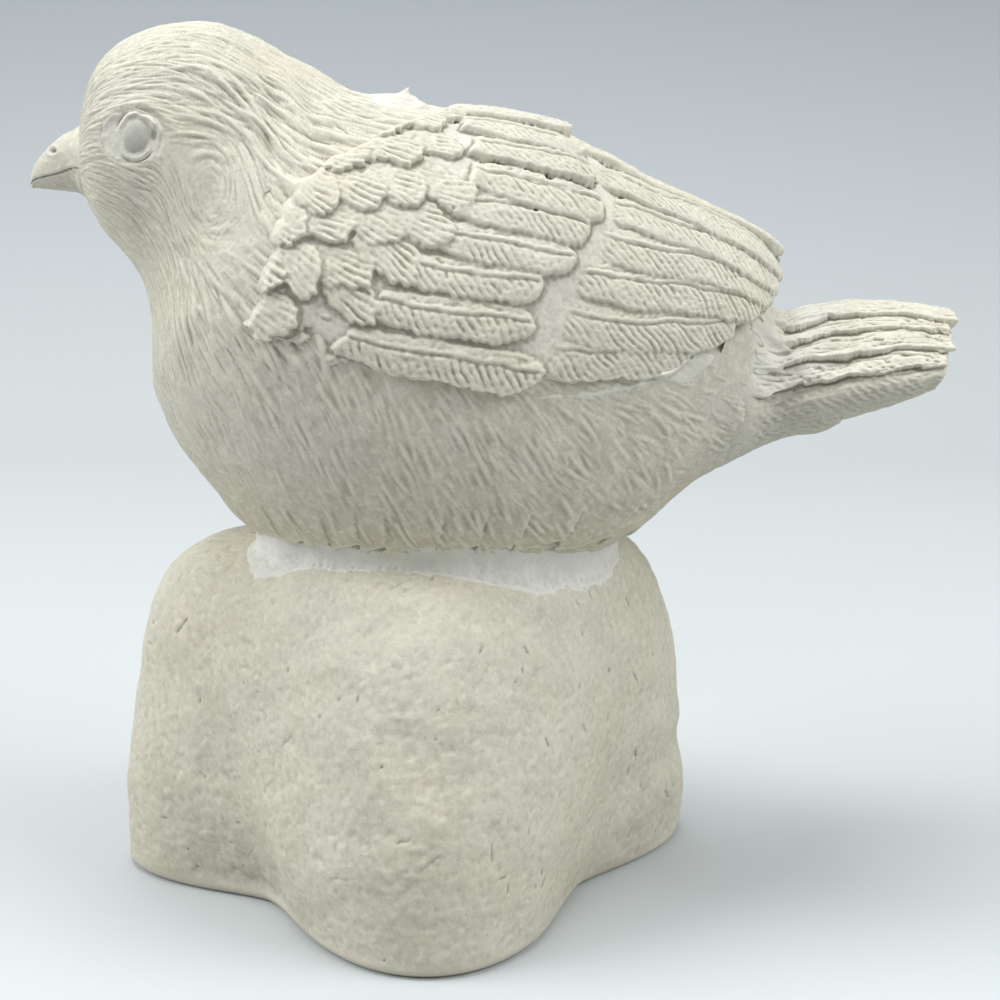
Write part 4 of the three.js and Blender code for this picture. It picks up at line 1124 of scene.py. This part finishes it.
def tail_points(share, angle):
    """Points over the tail. share below 0 runs forward over the body in stations, 0 to 1 runs to the end."""
    ahead = np.clip(share, 0, 1)
    crown, keel = along(TAIL_CROWN, ahead), along(TAIL_KEEL, ahead)
    half = between(TAIL_HALF, smooth(0.0, 0.6, ahead))
    full = between(TAIL_FULLNESS, smooth(0.0, 0.35, ahead))
    end = np.sqrt(np.clip(1 - np.clip((ahead - 0.955) / 0.045, 0, 1) ** 3, 0.1, 1))
    turn = np.radians(angle)
    middle, reach = (crown + keel) / 2, (crown - keel) / 2
    x, z = (middle[..., k] + reach[..., k] * np.cos(turn) * end for k in (0, 1))
    on_tail = spots(x, -half * np.sin(turn) * (1 - full * np.cos(turn)) * end, z)
    on_body = body_points(LAST_STATION + np.minimum(share, 0), angle)
    return np.where((share < 0)[..., None], on_body, on_tail)


def tail_relief(x, angle):
    """Height of the layered feathers over the tail, how much shorter each is, and how far paste covers it."""
    side = np.where(angle < 0, 31.0, 0.0)  # far apart in the noise, so that the two sides differ
    flank = np.abs(angle)

    def ripple(degrees, size, seed):
        return flat_noise(x, flank / degrees + side, size, 1.0, seed)

    place = flank + 5.0 * ripple(16, 8.0, 61) + 2.4 * ripple(6, 2.6, 62) + 0.7 * ripple(4, 0.9, 63)
    last = len(TAIL_EDGES)  # rank of the underside
    layer = np.interp(place, [0, *TAIL_EDGES, 180], [0.3, *range(1, last + 2)])
    rank = np.minimum(np.floor(layer), last)
    over = layer - rank
    bold = 0.4 + 0.6 * smooth(-0.3, 0.3, flat_noise(x, rank * 3 + side, 9.0, 1.0, 64))
    step = np.where(rank < last, over - 0.6, -0.6 + 0.62 * smooth(0.0, 0.16, over))
    fine = layer * 2.7 + 0.8 * ripple(9, 6.0, 65)
    fine = (fine - np.floor(fine) - 0.5) * (rank < last)
    fine = fine * smooth(-0.2, 0.4, flat_noise(x, flank + side, 7.0, 9.0, 66))
    barb = teeth((x - 0.17 * flank) / 1.6 + 0.3 * ripple(5, 3.0, 67))
    barb = barb * band(70, 92, 130, 150, flank) * smooth(-0.4, 0.2, ripple(8, 4.0, 76))
    slit = (1 - smooth(0.0, 0.1, np.abs(ripple(5.5, 10.0, 75)))) * (flank < 96)
    rise = TAIL_LAYER * bold * step + 0.4 * fine + 0.2 * barb - 0.3 * slit + 0.08 * ripple(3, 5.0, 68)
    root = TAIL_ROOT + 5.0 * flat_noise(flank + side * 9, 0 * x, 13.0, 1.0, 69)
    root = root + 2.0 * flat_noise(x, flank + side, 3.0, 5.0, 70)
    paste = 0.7 * (1 - smooth(-2.0, 2.0, x - root)) * (1 - smooth(80, 105, flank))
    return rise * smooth(*TAIL_RELIEF, x), np.array(TAIL_TRIM)[rank.astype(int)], paste


def ease_joint(ground):
    """Smooths the rows where the tail leaves the body."""
    first, last = TAIL_LEAD - TAIL_JOINT, TAIL_LEAD + TAIL_JOINT
    for _ in range(TAIL_JOINT_ROUNDS):
        before, here, after = (ground[first + k:last + k] for k in (-1, 0, 1))
        ground[first:last] = 0.5 * here + 0.25 * (before + after)


def tail_skin():
    """The tail in one skin: it grows out of the body and carries layered feathers with ragged edges."""
    rows, cols = TAIL_GRID
    lead = np.linspace(TAIL_FIRST - LAST_STATION, 0, TAIL_LEAD, endpoint=False)
    share = np.concatenate([lead, np.linspace(0, 1, rows - TAIL_LEAD)])
    share = np.broadcast_to(share[:, None], (rows, cols))
    angle = np.broadcast_to(round_angles(cols), (rows, cols))
    ground = tail_points(share, angle)
    x = ground[..., 0]
    rise, trim, paste = tail_relief(x, angle)
    emerge = smooth(-0.98, -0.5, share + 0.12 * noise(ground, 4.0, 71))
    under = smooth(110, 150, np.abs(angle)) * bump((x - TAIL_HEM) / 3.0)
    under = under * (x < TAIL_HEM + 2.5 + 0.8 * noise(ground, 3.0, 72))
    rise = rise + between((-0.9, 0.25), emerge) + 0.8 * under + layered(ground, TAIL_LUMPS)
    ease_joint(ground)
    normals = grid_normals(ground)
    normals *= np.sign(np.einsum("ijk,ijk->ij", normals, ground - ground.mean(1, keepdims=True)).mean())
    blunt = smooth(0.965, 0.996, share)
    points = ground + normals * (soften(rise, 2) * (1 - blunt))[..., None]
    points[..., 0] -= between((trim, trim.mean()), blunt) * smooth(0.8, 1.0, share)
    skin = skin_of(points)
    skin["filler"] = np.append(paste.ravel(), [0, 0])
    return skin


# Paste worked over seams

def cast(trees, start, aim):
    """Distance along each ray to the nearest of the trees, or nan."""
    flat_start, flat_aim = start.reshape(-1, 3), np.broadcast_to(aim, start.shape).reshape(-1, 3)
    reach = np.full(len(flat_start), np.nan)
    for number, (origin, way) in enumerate(zip(flat_start, flat_aim)):
        for tree in trees:
            distance = tree.ray_cast(Vector(origin * MM), Vector(way))[3]
            if distance is not None and not distance / MM > reach[number]:
                reach[number] = distance / MM
    return reach.reshape(start.shape[:-1])


def smear(trees, start, aim, inside, thick, rounds, white):
    """Paste pressed on what the rays meet: level in hollows, thin on ridges, gone where inside is below 0.

    More rounds make it more level. white is how far it hides the resin's colour.
    """
    depth = cast(trees, start, aim)
    depth = np.where(np.isnan(depth), np.nanmax(depth), depth)
    level = soften(depth, rounds)
    body = smooth(0.0, 1.2, inside)
    paste = np.where(inside > -0.4, np.minimum(level, depth + 1.2) - thick * body, depth) + 0.5 * (1 - body)
    aim = np.broadcast_to(aim, start.shape)
    top = start + aim * paste[..., None]
    bottom = start + aim * (np.maximum(depth, paste) + 0.6)[..., None]
    skin = slab_of(top, bottom)
    skin["filler"] = white
    return skin


def tree_of(piece):
    """A piece as rays can meet it."""
    return BVHTree.FromObject(piece, bpy.context.evaluated_depsgraph_get())


def over_body(stations, angles, height):
    """Rays on to the bird's side from a height over it: starts and directions."""
    start = body_points(stations, angles, height)
    aim = body_points(stations, angles, 0.0) - start
    return start, aim / np.linalg.norm(aim, axis=-1, keepdims=True)


def wing_filler_skin(trees, side):
    """The strip along the wing's lower edge, with a blob at its rear end."""
    rows, cols = STRIP_GRID
    station = np.linspace(STRIP_MIDDLE[0][0], STRIP_MIDDLE[-1][0], rows)[:, None]
    middle, width = (np.interp(station, *np.array(line).T) for line in (STRIP_MIDDLE, STRIP_WIDTH))
    across = np.linspace(-STRIP_REACH, STRIP_REACH, cols)[None, :]
    start, aim = over_body(station, side * (middle + across), height=6.0)
    inside = width - 0.45 * np.abs(across) + layered(start, [(0.45, 2.2, 23), (0.2, 0.9, 24)])
    thick = 0.35 + 0.12 * noise(start, 1.3, 25)
    return smear(trees, start, aim, inside, thick, rounds=5, white=THIN_PASTE)


def tail_filler_skin(trees):
    """The paste over the tail's root, with tongues between the feathers."""
    rows, cols = TAIL_PASTE_GRID
    along_x = np.linspace(*TAIL_PASTE_REACH[0], rows)[:, None]
    angle = np.linspace(*TAIL_PASTE_REACH[1], cols)[None, :]
    turn = np.radians(angle)
    away = 24.0
    axis_z = SEAT_HEIGHT + np.interp(along_x, *np.array(TAIL_PASTE_AXIS).T)
    start = spots(along_x, -np.sin(turn) * away, axis_z + np.cos(turn) * away)
    aim = spots(0 * along_x, np.sin(turn), -np.cos(turn))
    first, tongue, fringe = (
        flat_noise(angle, 0 * along_x, size, 1.0, seed) for size, seed in ((12.0, 28), (14.0, 26), (5.0, 27))
    )
    top = 1 - smooth(45, 78, np.abs(angle))
    last = 60.0 + 3.0 * tongue + 2.5 * top + 2.5 * fringe
    inside = np.minimum(last - along_x, along_x - 54.5 - 2.0 * first)
    inside = np.minimum(inside, (88 - np.abs(angle)) * 0.25) + 1.1 * noise(start, 2.2, 29) - 0.5
    thick = 0.2 + 0.1 * noise(start, 1.8, 30) + 0.7 * bump((along_x - 59.5) / 4.0) * top
    return smear(trees, start, aim, inside, thick, rounds=30, white=THIN_PASTE)


def nape_filler_skin(trees):
    """A smear between the shoulders, with a burr pulled up from it."""
    rows, cols = NAPE_GRID
    station = np.linspace(*NAPE_REACH[0], rows)[:, None]
    angle = np.linspace(*NAPE_REACH[1], cols)[None, :]
    start, aim = over_body(station, angle, height=8.0)
    x = (station - NAPE_STATION) * 11.0
    y = angle * 0.55
    inside = 5.6 - np.hypot(x, y * 0.7) + 0.9 * noise(start, 2.6, 31)
    burr = np.exp(-np.hypot(x - 0.6, y / 1.1))
    crumb = bump(np.hypot((x - 2.4) / 0.9, (y - 0.6) / 0.8))
    thick = 0.5 * smooth(0, 3.5, inside) + 2.4 * burr + 0.6 * crumb + 0.15 * noise(start, 1.8, 45)
    return smear(trees, start, aim, inside, thick, rounds=6, white=THIN_PASTE)


def round_belly(turn, radius, height):
    """Points round the belly's axis."""
    return spots(BELLY_MIDDLE + radius * np.cos(turn), radius * np.sin(turn), height)


def floor_under(tree, points):
    """Height of what lies under points, or nan."""
    above = points.copy()
    above[..., 2] = SKY
    return SKY - cast([tree], above, np.array([0.0, 0.0, -1.0]))


def belly_contact(body_tree, rock_tree, turn):
    """The belly's radius at some heights, and radius and height at which it meets the boulder."""
    levels = np.linspace(*BELLY_LEVELS)
    inward = spots(-np.cos(turn), -np.sin(turn), 0 * levels)
    belly = FAR - cast([body_tree], round_belly(turn, FAR, levels), inward)
    belly = soften_round(np.where(np.isnan(belly), 0.0, belly), 30)
    ground = floor_under(rock_tree, round_belly(turn, belly, levels))
    clear = levels - np.where(np.isnan(ground), 0.0, ground)
    rows = np.arange(len(turn))
    last = np.argmax(clear > 0, axis=1)
    first = last - 1
    gap = clear[rows, last] - clear[rows, first]
    span = np.clip(-clear[rows, first] / (gap + 1e-9), 0, 1)
    radius = between((belly[rows, first], belly[rows, last]), span)
    height = between((levels[first], levels[last]), span)
    return levels, belly, soften_round(radius[:, None], 12), soften_round(height[:, None], 12)


def bent(start, knee, end, t):
    """A curve from start to end that bends towards the knee."""
    return (1 - t) ** 2 * start + 2 * t * (1 - t) * knee + t**2 * end


def belly_filler_skin(body_tree, rock_tree):
    """The bead between belly and boulder: hollow in section, ragged where it thins out."""
    turns, spans = BELLY_PASTE_GRID
    turn = (np.arange(turns) / turns * 2 * math.pi)[:, None]
    t = np.linspace(0, 1, spans)[None, :]
    levels, belly, contact_r, contact_z = belly_contact(body_tree, rock_tree, turn)
    broad, lesser = (turn - bearing for bearing in BELLY_BULGES)
    climb = 5.2 + 0.4 * round_noise(turn, 9.0, 33) + 1.4 * bump(broad / 0.45)
    spread = 3.2 + 1.4 * round_noise(turn, 13.0, 34) + 3.2 * bump(broad / 0.4) + 2.0 * bump(lesser / 0.3)
    fray = (0.6 * round_noise(turn, 3.0, 36) + 0.35 * round_noise(turn, 1.1, 35)) * smooth(0.72, 1.0, t)
    top_z = contact_z + climb
    top_r = np.array([np.interp(z, levels, r) for z, r in zip(top_z, belly)])
    r = bent(top_r - 0.1, contact_r + 0.9, contact_r + np.maximum(spread, 1.4), t) + fray
    floor_z = floor_under(rock_tree, round_belly(turn, r, SKY))
    floor_z = np.where(np.isnan(floor_z), contact_z - 2, floor_z)
    edge_r, edge_z = r[:, -1:], floor_z[:, -1:]
    z = bent(top_z, contact_z + 0.9, soften(edge_z, 20), t)
    arch = np.sin(math.pi * t)
    round_x, round_y = np.cos(turn) * BELLY_ROUND, np.sin(turn) * BELLY_ROUND
    swell = 0.2 * flat_noise(round_x, round_y + 6 * t, 7.0, 7.0, 37) * arch
    swell = swell + layered(round_belly(turn, r, z), [(0.16, 2.6, 46), (0.06, 0.9, 47)]) * arch**0.5
    lip = 0.06 + 0.2 * (1 - bump(broad / 0.6)) * smooth(-0.5, 0.3, round_noise(turn, 8.0, 32))
    z = np.maximum(z + swell, floor_z + lip * (1 - smooth(0.96, 1.0, t)) + 0.03)
    r = np.column_stack([r + swell, edge_r + 0.12, contact_r - 1.5, top_r - 1.2])
    z = np.column_stack([z, edge_z - 0.4, contact_z - 2.0, top_z - 0.4])
    skin = skin_of(round_belly(turn, r, z), True)
    skin["filler"] = 1.0
    return skin


# Finishes

class Nodes:
    """A short way to build a material's nodes."""

    def __init__(self, name):
        self.material = bpy.data.materials.new(name)
        self.material.use_nodes = True
        self.tree = self.material.node_tree
        self.tree.nodes.clear()

    def add(self, kind, **settings):
        """A new node with those settings."""
        node = self.tree.nodes.new(kind)
        for key, value in settings.items():
            setattr(node, key, value)
        return node

    def link(self, source, target):
        self.tree.links.new(source, target)

    def value(self, name):
        """What a skin keeps at its points under that name."""
        return self.add("ShaderNodeAttribute", attribute_name=name).outputs["Fac"]

    def noise(self, scale, detail=3.0, roughness=0.55):
        """Noise over the object's own coordinates."""
        place = self.add("ShaderNodeTexCoord").outputs["Object"]
        node = self.add("ShaderNodeTexNoise")
        node.inputs["Scale"].default_value = scale
        node.inputs["Detail"].default_value = detail
        node.inputs["Roughness"].default_value = roughness
        self.link(place, node.inputs["Vector"])
        return node.outputs["Fac"]

    def height(self):
        """Height above the object's origin, in metres."""
        split = self.add("ShaderNodeSeparateXYZ")
        self.link(self.add("ShaderNodeTexCoord").outputs["Object"], split.inputs["Vector"])
        return split.outputs["Z"]

    def off_height(self, height):
        """Distance above or below a height, in metres."""
        away = self.add("ShaderNodeMath", operation="SUBTRACT")
        self.link(self.height(), away.inputs[0])
        away.inputs[1].default_value = height
        size = self.add("ShaderNodeMath", operation="ABSOLUTE")
        self.link(away.outputs["Value"], size.inputs[0])
        return size.outputs["Value"]

    def range(self, source, low, high, start=0.0, end=1.0):
        """Moves what runs from low to high to run from start to end."""
        node = self.add("ShaderNodeMapRange")
        for key, value in zip(("From Min", "From Max", "To Min", "To Max"), (low, high, start, end)):
            node.inputs[key].default_value = value
        self.link(source, node.inputs["Value"])
        return node.outputs["Result"]

    def mix(self, share, one, two):
        """A colour between two. Each is a tuple or what a node gives."""
        node = self.add("ShaderNodeMix", data_type="RGBA")
        self.link(share, node.inputs["Factor"])
        for key, value in (("A", one), ("B", two)):
            socket = next(s for s in node.inputs if s.name == key and s.type == "RGBA")
            if isinstance(value, tuple):
                socket.default_value = (*value, 1.0)
            else:
                self.link(value, socket)
        return next(s for s in node.outputs if s.type == "RGBA")

    def fleck(self, tone, colour, strength, scale, low, high, detail=2.0, roughness=0.55):
        """Mixes a colour in where noise of that scale is high."""
        share = self.range(self.noise(scale, detail, roughness), low, high, 0.0, strength)
        return self.mix(share, tone, colour)

    def surface(self, tone, values):
        """A shader of that colour as the material's surface. values are its other inputs by name."""
        shader = self.add("ShaderNodeBsdfPrincipled")
        for key, value in values.items():
            shader.inputs[key].default_value = value
        self.link(tone, shader.inputs["Base Color"])
        self.link(shader.outputs["BSDF"], self.add("ShaderNodeOutputMaterial").inputs["Surface"])
        return shader


def shade(colour, factor):
    """A colour times a number, or times one number for each channel."""
    return tuple(np.multiply(colour, factor))


def cast_finish(name, colour, dark, grain, roughness, speck=0.0, joint_shade=0.0, mottle=0.42, ridge=1.2,
                crevice_shade=0.125):
    """Matt cast resin: mottled, with painted shade in its hollows and a painted highlight on its ridges,
    white where paste lies.

    grain is the scale of its fine bumps, and crevice the depth in millimetres at which the painted shade in a
    hollow is darkest.
    dark is the colour of that painted shade and of the dark specks, and ridge sets the painted highlight on
    ridges.
    speck, tanned and mottle are shares of dark specks, of painted shade in a darker tan at the joint and of
    dark mottling.
    """
    nodes = Nodes(name)
    blotch = nodes.range(nodes.noise(130.0, 4.0), 0.36, 0.66)
    tone = nodes.mix(blotch, shade(colour, 0.93), shade(colour, 1.05))
    tone = nodes.fleck(tone, shade(colour, TAN), 0.55, 55.0, 0.42, 0.7, 3.0)
    # painted shade round the joint of bird and boulder, in a darker tan
    if joint_shade:
        shade_at_joint = nodes.range(nodes.off_height(JOINT_HEIGHT), *JOINT_REACH, joint_shade, 0.0)
        tone = nodes.mix(shade_at_joint, tone, shade(colour, JOINT_SHADE_TINT))
    tone = nodes.fleck(tone, shade(colour, 1.16), 0.7, 900.0, 0.5, 0.68)
    tone = nodes.fleck(tone, shade(colour, 0.72), mottle, 1700.0, 0.48, 0.68)
    if speck:
        tone = nodes.fleck(tone, dark, speck, 1500.0, 0.64, 0.74, roughness=0.7)
    white = nodes.mix(nodes.range(nodes.noise(260.0, 3.0), 0.35, 0.7), shade(FILLER, 0.94), FILLER)
    tone = nodes.mix(nodes.value("filler"), tone, white)
    hollow = nodes.value("hollow")
    # painted shade in the hollows
    tone = nodes.mix(nodes.range(hollow, 0.0, crevice_shade, 0.0, 0.9), tone, dark)
    # painted highlight on the ridges
    tone = nodes.mix(nodes.range(hollow, -0.01, -0.09, 0.0, 0.6), tone, shade(colour, ridge))
    # painted shade in pits, cracks, grooves and holes
    tone = nodes.mix(nodes.value("pit_shade"), tone, PIT_SHADE)
    shader = nodes.surface(tone, {"Roughness": roughness, "Specular IOR Level": 0.3})
    dimple = nodes.add("ShaderNodeBump")
    dimple.inputs["Strength"].default_value = 0.5
    dimple.inputs["Distance"].default_value = 0.00012
    nodes.link(nodes.noise(grain, 4.0, 0.65), dimple.inputs["Height"])
    nodes.link(dimple.outputs["Normal"], shader.inputs["Normal"])
    return nodes.material


def steel_finish():
    """Bare steel for the hidden pins."""
    nodes = Nodes("pin_steel")
    shader = nodes.surface(nodes.mix(nodes.noise(700.0), *STEEL), {"Metallic": 1.0})
    nodes.link(nodes.range(nodes.noise(1200.0), 0.3, 0.7, 0.3, 0.45), shader.inputs["Roughness"])
    return nodes.material


# Pieces

resin = cast_finish("bird_resin", RESIN, RESIN_SHADE_AND_SPECK, grain=2600.0, roughness=0.78, speck=0.3, joint_shade=0.7)
wing_resin = cast_finish("wing_resin", RESIN, RESIN_SHADE_AND_SPECK, grain=2600.0, roughness=0.78, speck=0.3,
                         crevice_shade=0.058)
rock_resin = cast_finish("rock_resin", ROCK, ROCK_SHADE_AND_SPECK, grain=1900.0, roughness=0.82, speck=0.4,
                         mottle=0.28, ridge=1.12, crevice_shade=0.15)
eye_resin = cast_finish("eye_resin", EYE, shade(EYE, 0.6), grain=2600.0, roughness=0.6)
filler = cast_finish("filler", FILLER, shade(FILLER, 0.55), grain=1900.0, roughness=0.85, mottle=0.3,
                     ridge=1.02)

rock = add_piece("boulder", rock_skin(), rock_resin, "rock_base")
body = add_piece("body", body_skin(), resin, "bird_body")
add_piece("bill", beak_skin(), resin, "beak")
tail = add_piece("tail_feathers", tail_skin(), wing_resin, "tail")
trees = [tree_of(body), tree_of(tail)]
for name, side, seed in WINGS:
    wing = add_piece(f"{name}_wing_feathers", wing_skin(side, seed), wing_resin, f"{name}_wing")
    trees.append(tree_of(wing))
    add_piece(f"{name}_eye_ball", eye_skin(side), eye_resin, f"{name}_eye")
    add_piece(f"{name}_eye_paste", eye_filler_skin(trees[0], side), resin, f"{name}_eye_filler")
    strip = wing_filler_skin([trees[0], trees[-1]], side)
    add_piece(f"{name}_wing_paste", strip, resin, f"{name}_wing_filler")
add_piece("tail_paste", tail_filler_skin(trees[:2]), resin, "tail_filler")
add_piece("nape_paste", nape_filler_skin(trees), resin, "nape_filler")
add_piece("belly_paste", belly_filler_skin(trees[0], tree_of(rock)), filler, "belly_filler")

steel = steel_finish()
for pin in ("front_pin", "rear_pin"):
    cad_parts[pin].data.materials.clear()
    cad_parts[pin].data.materials.append(steel)


# Stage

def backdrop_finish():
    """Pale floor that turns a darker grey-blue towards the top of the backdrop, as painted shade where the
    light falls off up the wall.
    """
    nodes = Nodes("backdrop")
    # painted shade: darker towards the top
    tone = nodes.mix(nodes.range(nodes.height(), 0.0, 0.32), FLOOR, SHADED_WALL)
    seen = nodes.add("ShaderNodeLightPath").outputs["Is Camera Ray"]
    nodes.surface(nodes.mix(seen, BOUNCE, tone), {"Roughness": 0.9, "Specular IOR Level": 0.1})
    return nodes.material


def add_backdrop():
    """A floor that sweeps up into a wall behind the object."""
    half, front, sweep, top, radius = 1.0, -0.9, 0.35, 1.5, 0.3
    turns = np.linspace(0, math.pi / 2, 25)
    bend = [(sweep + radius * math.sin(t), radius * (1 - math.cos(t))) for t in turns]
    line = [(front, 0.0), *bend, (sweep + radius, top)]
    points = [(x, y, z) for y, z in line for x in (-half, half)]
    quads = [(2 * k, 2 * k + 1, 2 * k + 3, 2 * k + 2) for k in range(len(line) - 1)]
    mesh = bpy.data.meshes.new("backdrop")
    mesh.from_pydata(points, [], quads)
    mesh.shade_smooth()
    mesh.materials.append(backdrop_finish())
    backdrop = bpy.data.objects.new("backdrop", mesh)
    bpy.context.scene.collection.objects.link(backdrop)


def add_lamp(name, place, size, power):
    """A round lamp that points at the object."""
    lamp = bpy.data.lights.new(name, "AREA")
    lamp.shape = "DISK"
    lamp.size = size
    lamp.energy = power
    lamp_object = bpy.data.objects.new(name, lamp)
    bpy.context.scene.collection.objects.link(lamp_object)
    lamp_object.location = place
    lamp_object.rotation_euler = (Vector(LAMP_TARGET) - Vector(place)).to_track_quat("-Z", "Y").to_euler()


def add_world():
    """A faint light from all round, and a grey-blue background where the camera sees past the backdrop."""
    world = bpy.data.worlds.new("studio")
    world.use_nodes = True
    nodes, links = world.node_tree.nodes, world.node_tree.links
    lit = nodes["Background"]
    lit.inputs["Color"].default_value = (*WORLD_LIGHT, 1.0)
    lit.inputs["Strength"].default_value = WORLD_STRENGTH
    seen = nodes.new("ShaderNodeBackground")
    seen.inputs["Color"].default_value = (*WORLD_SEEN, 1.0)
    blend = nodes.new("ShaderNodeMixShader")
    links.new(nodes.new("ShaderNodeLightPath").outputs["Is Camera Ray"], blend.inputs["Fac"])
    links.new(lit.outputs["Background"], blend.inputs[1])
    links.new(seen.outputs["Background"], blend.inputs[2])
    links.new(blend.outputs["Shader"], nodes["World Output"].inputs["Surface"])
    bpy.context.scene.world = world


def add_camera():
    """The photograph's camera."""
    camera = bpy.data.cameras.new("camera")
    camera.sensor_width = SENSOR_WIDTH
    camera.lens = SENSOR_WIDTH / 2 / math.tan(math.radians(FIELD_OF_VIEW / 2))
    camera_object = bpy.data.objects.new("camera", camera)
    bpy.context.scene.collection.objects.link(camera_object)
    tilt = math.radians(CAMERA_ELEVATION)
    away = np.array([0.0, -math.cos(tilt), math.sin(tilt)]) * CAMERA_DISTANCE
    camera_object.location = (CAMERA_TARGET + away) * MM
    camera_object.rotation_euler = (math.pi / 2 - tilt, 0.0, 0.0)
    bpy.context.scene.camera = camera_object


add_backdrop()
add_camera()
add_world()
for lamp in LAMPS:
    add_lamp(*lamp)
bpy.context.scene.view_settings.view_transform = "Standard"
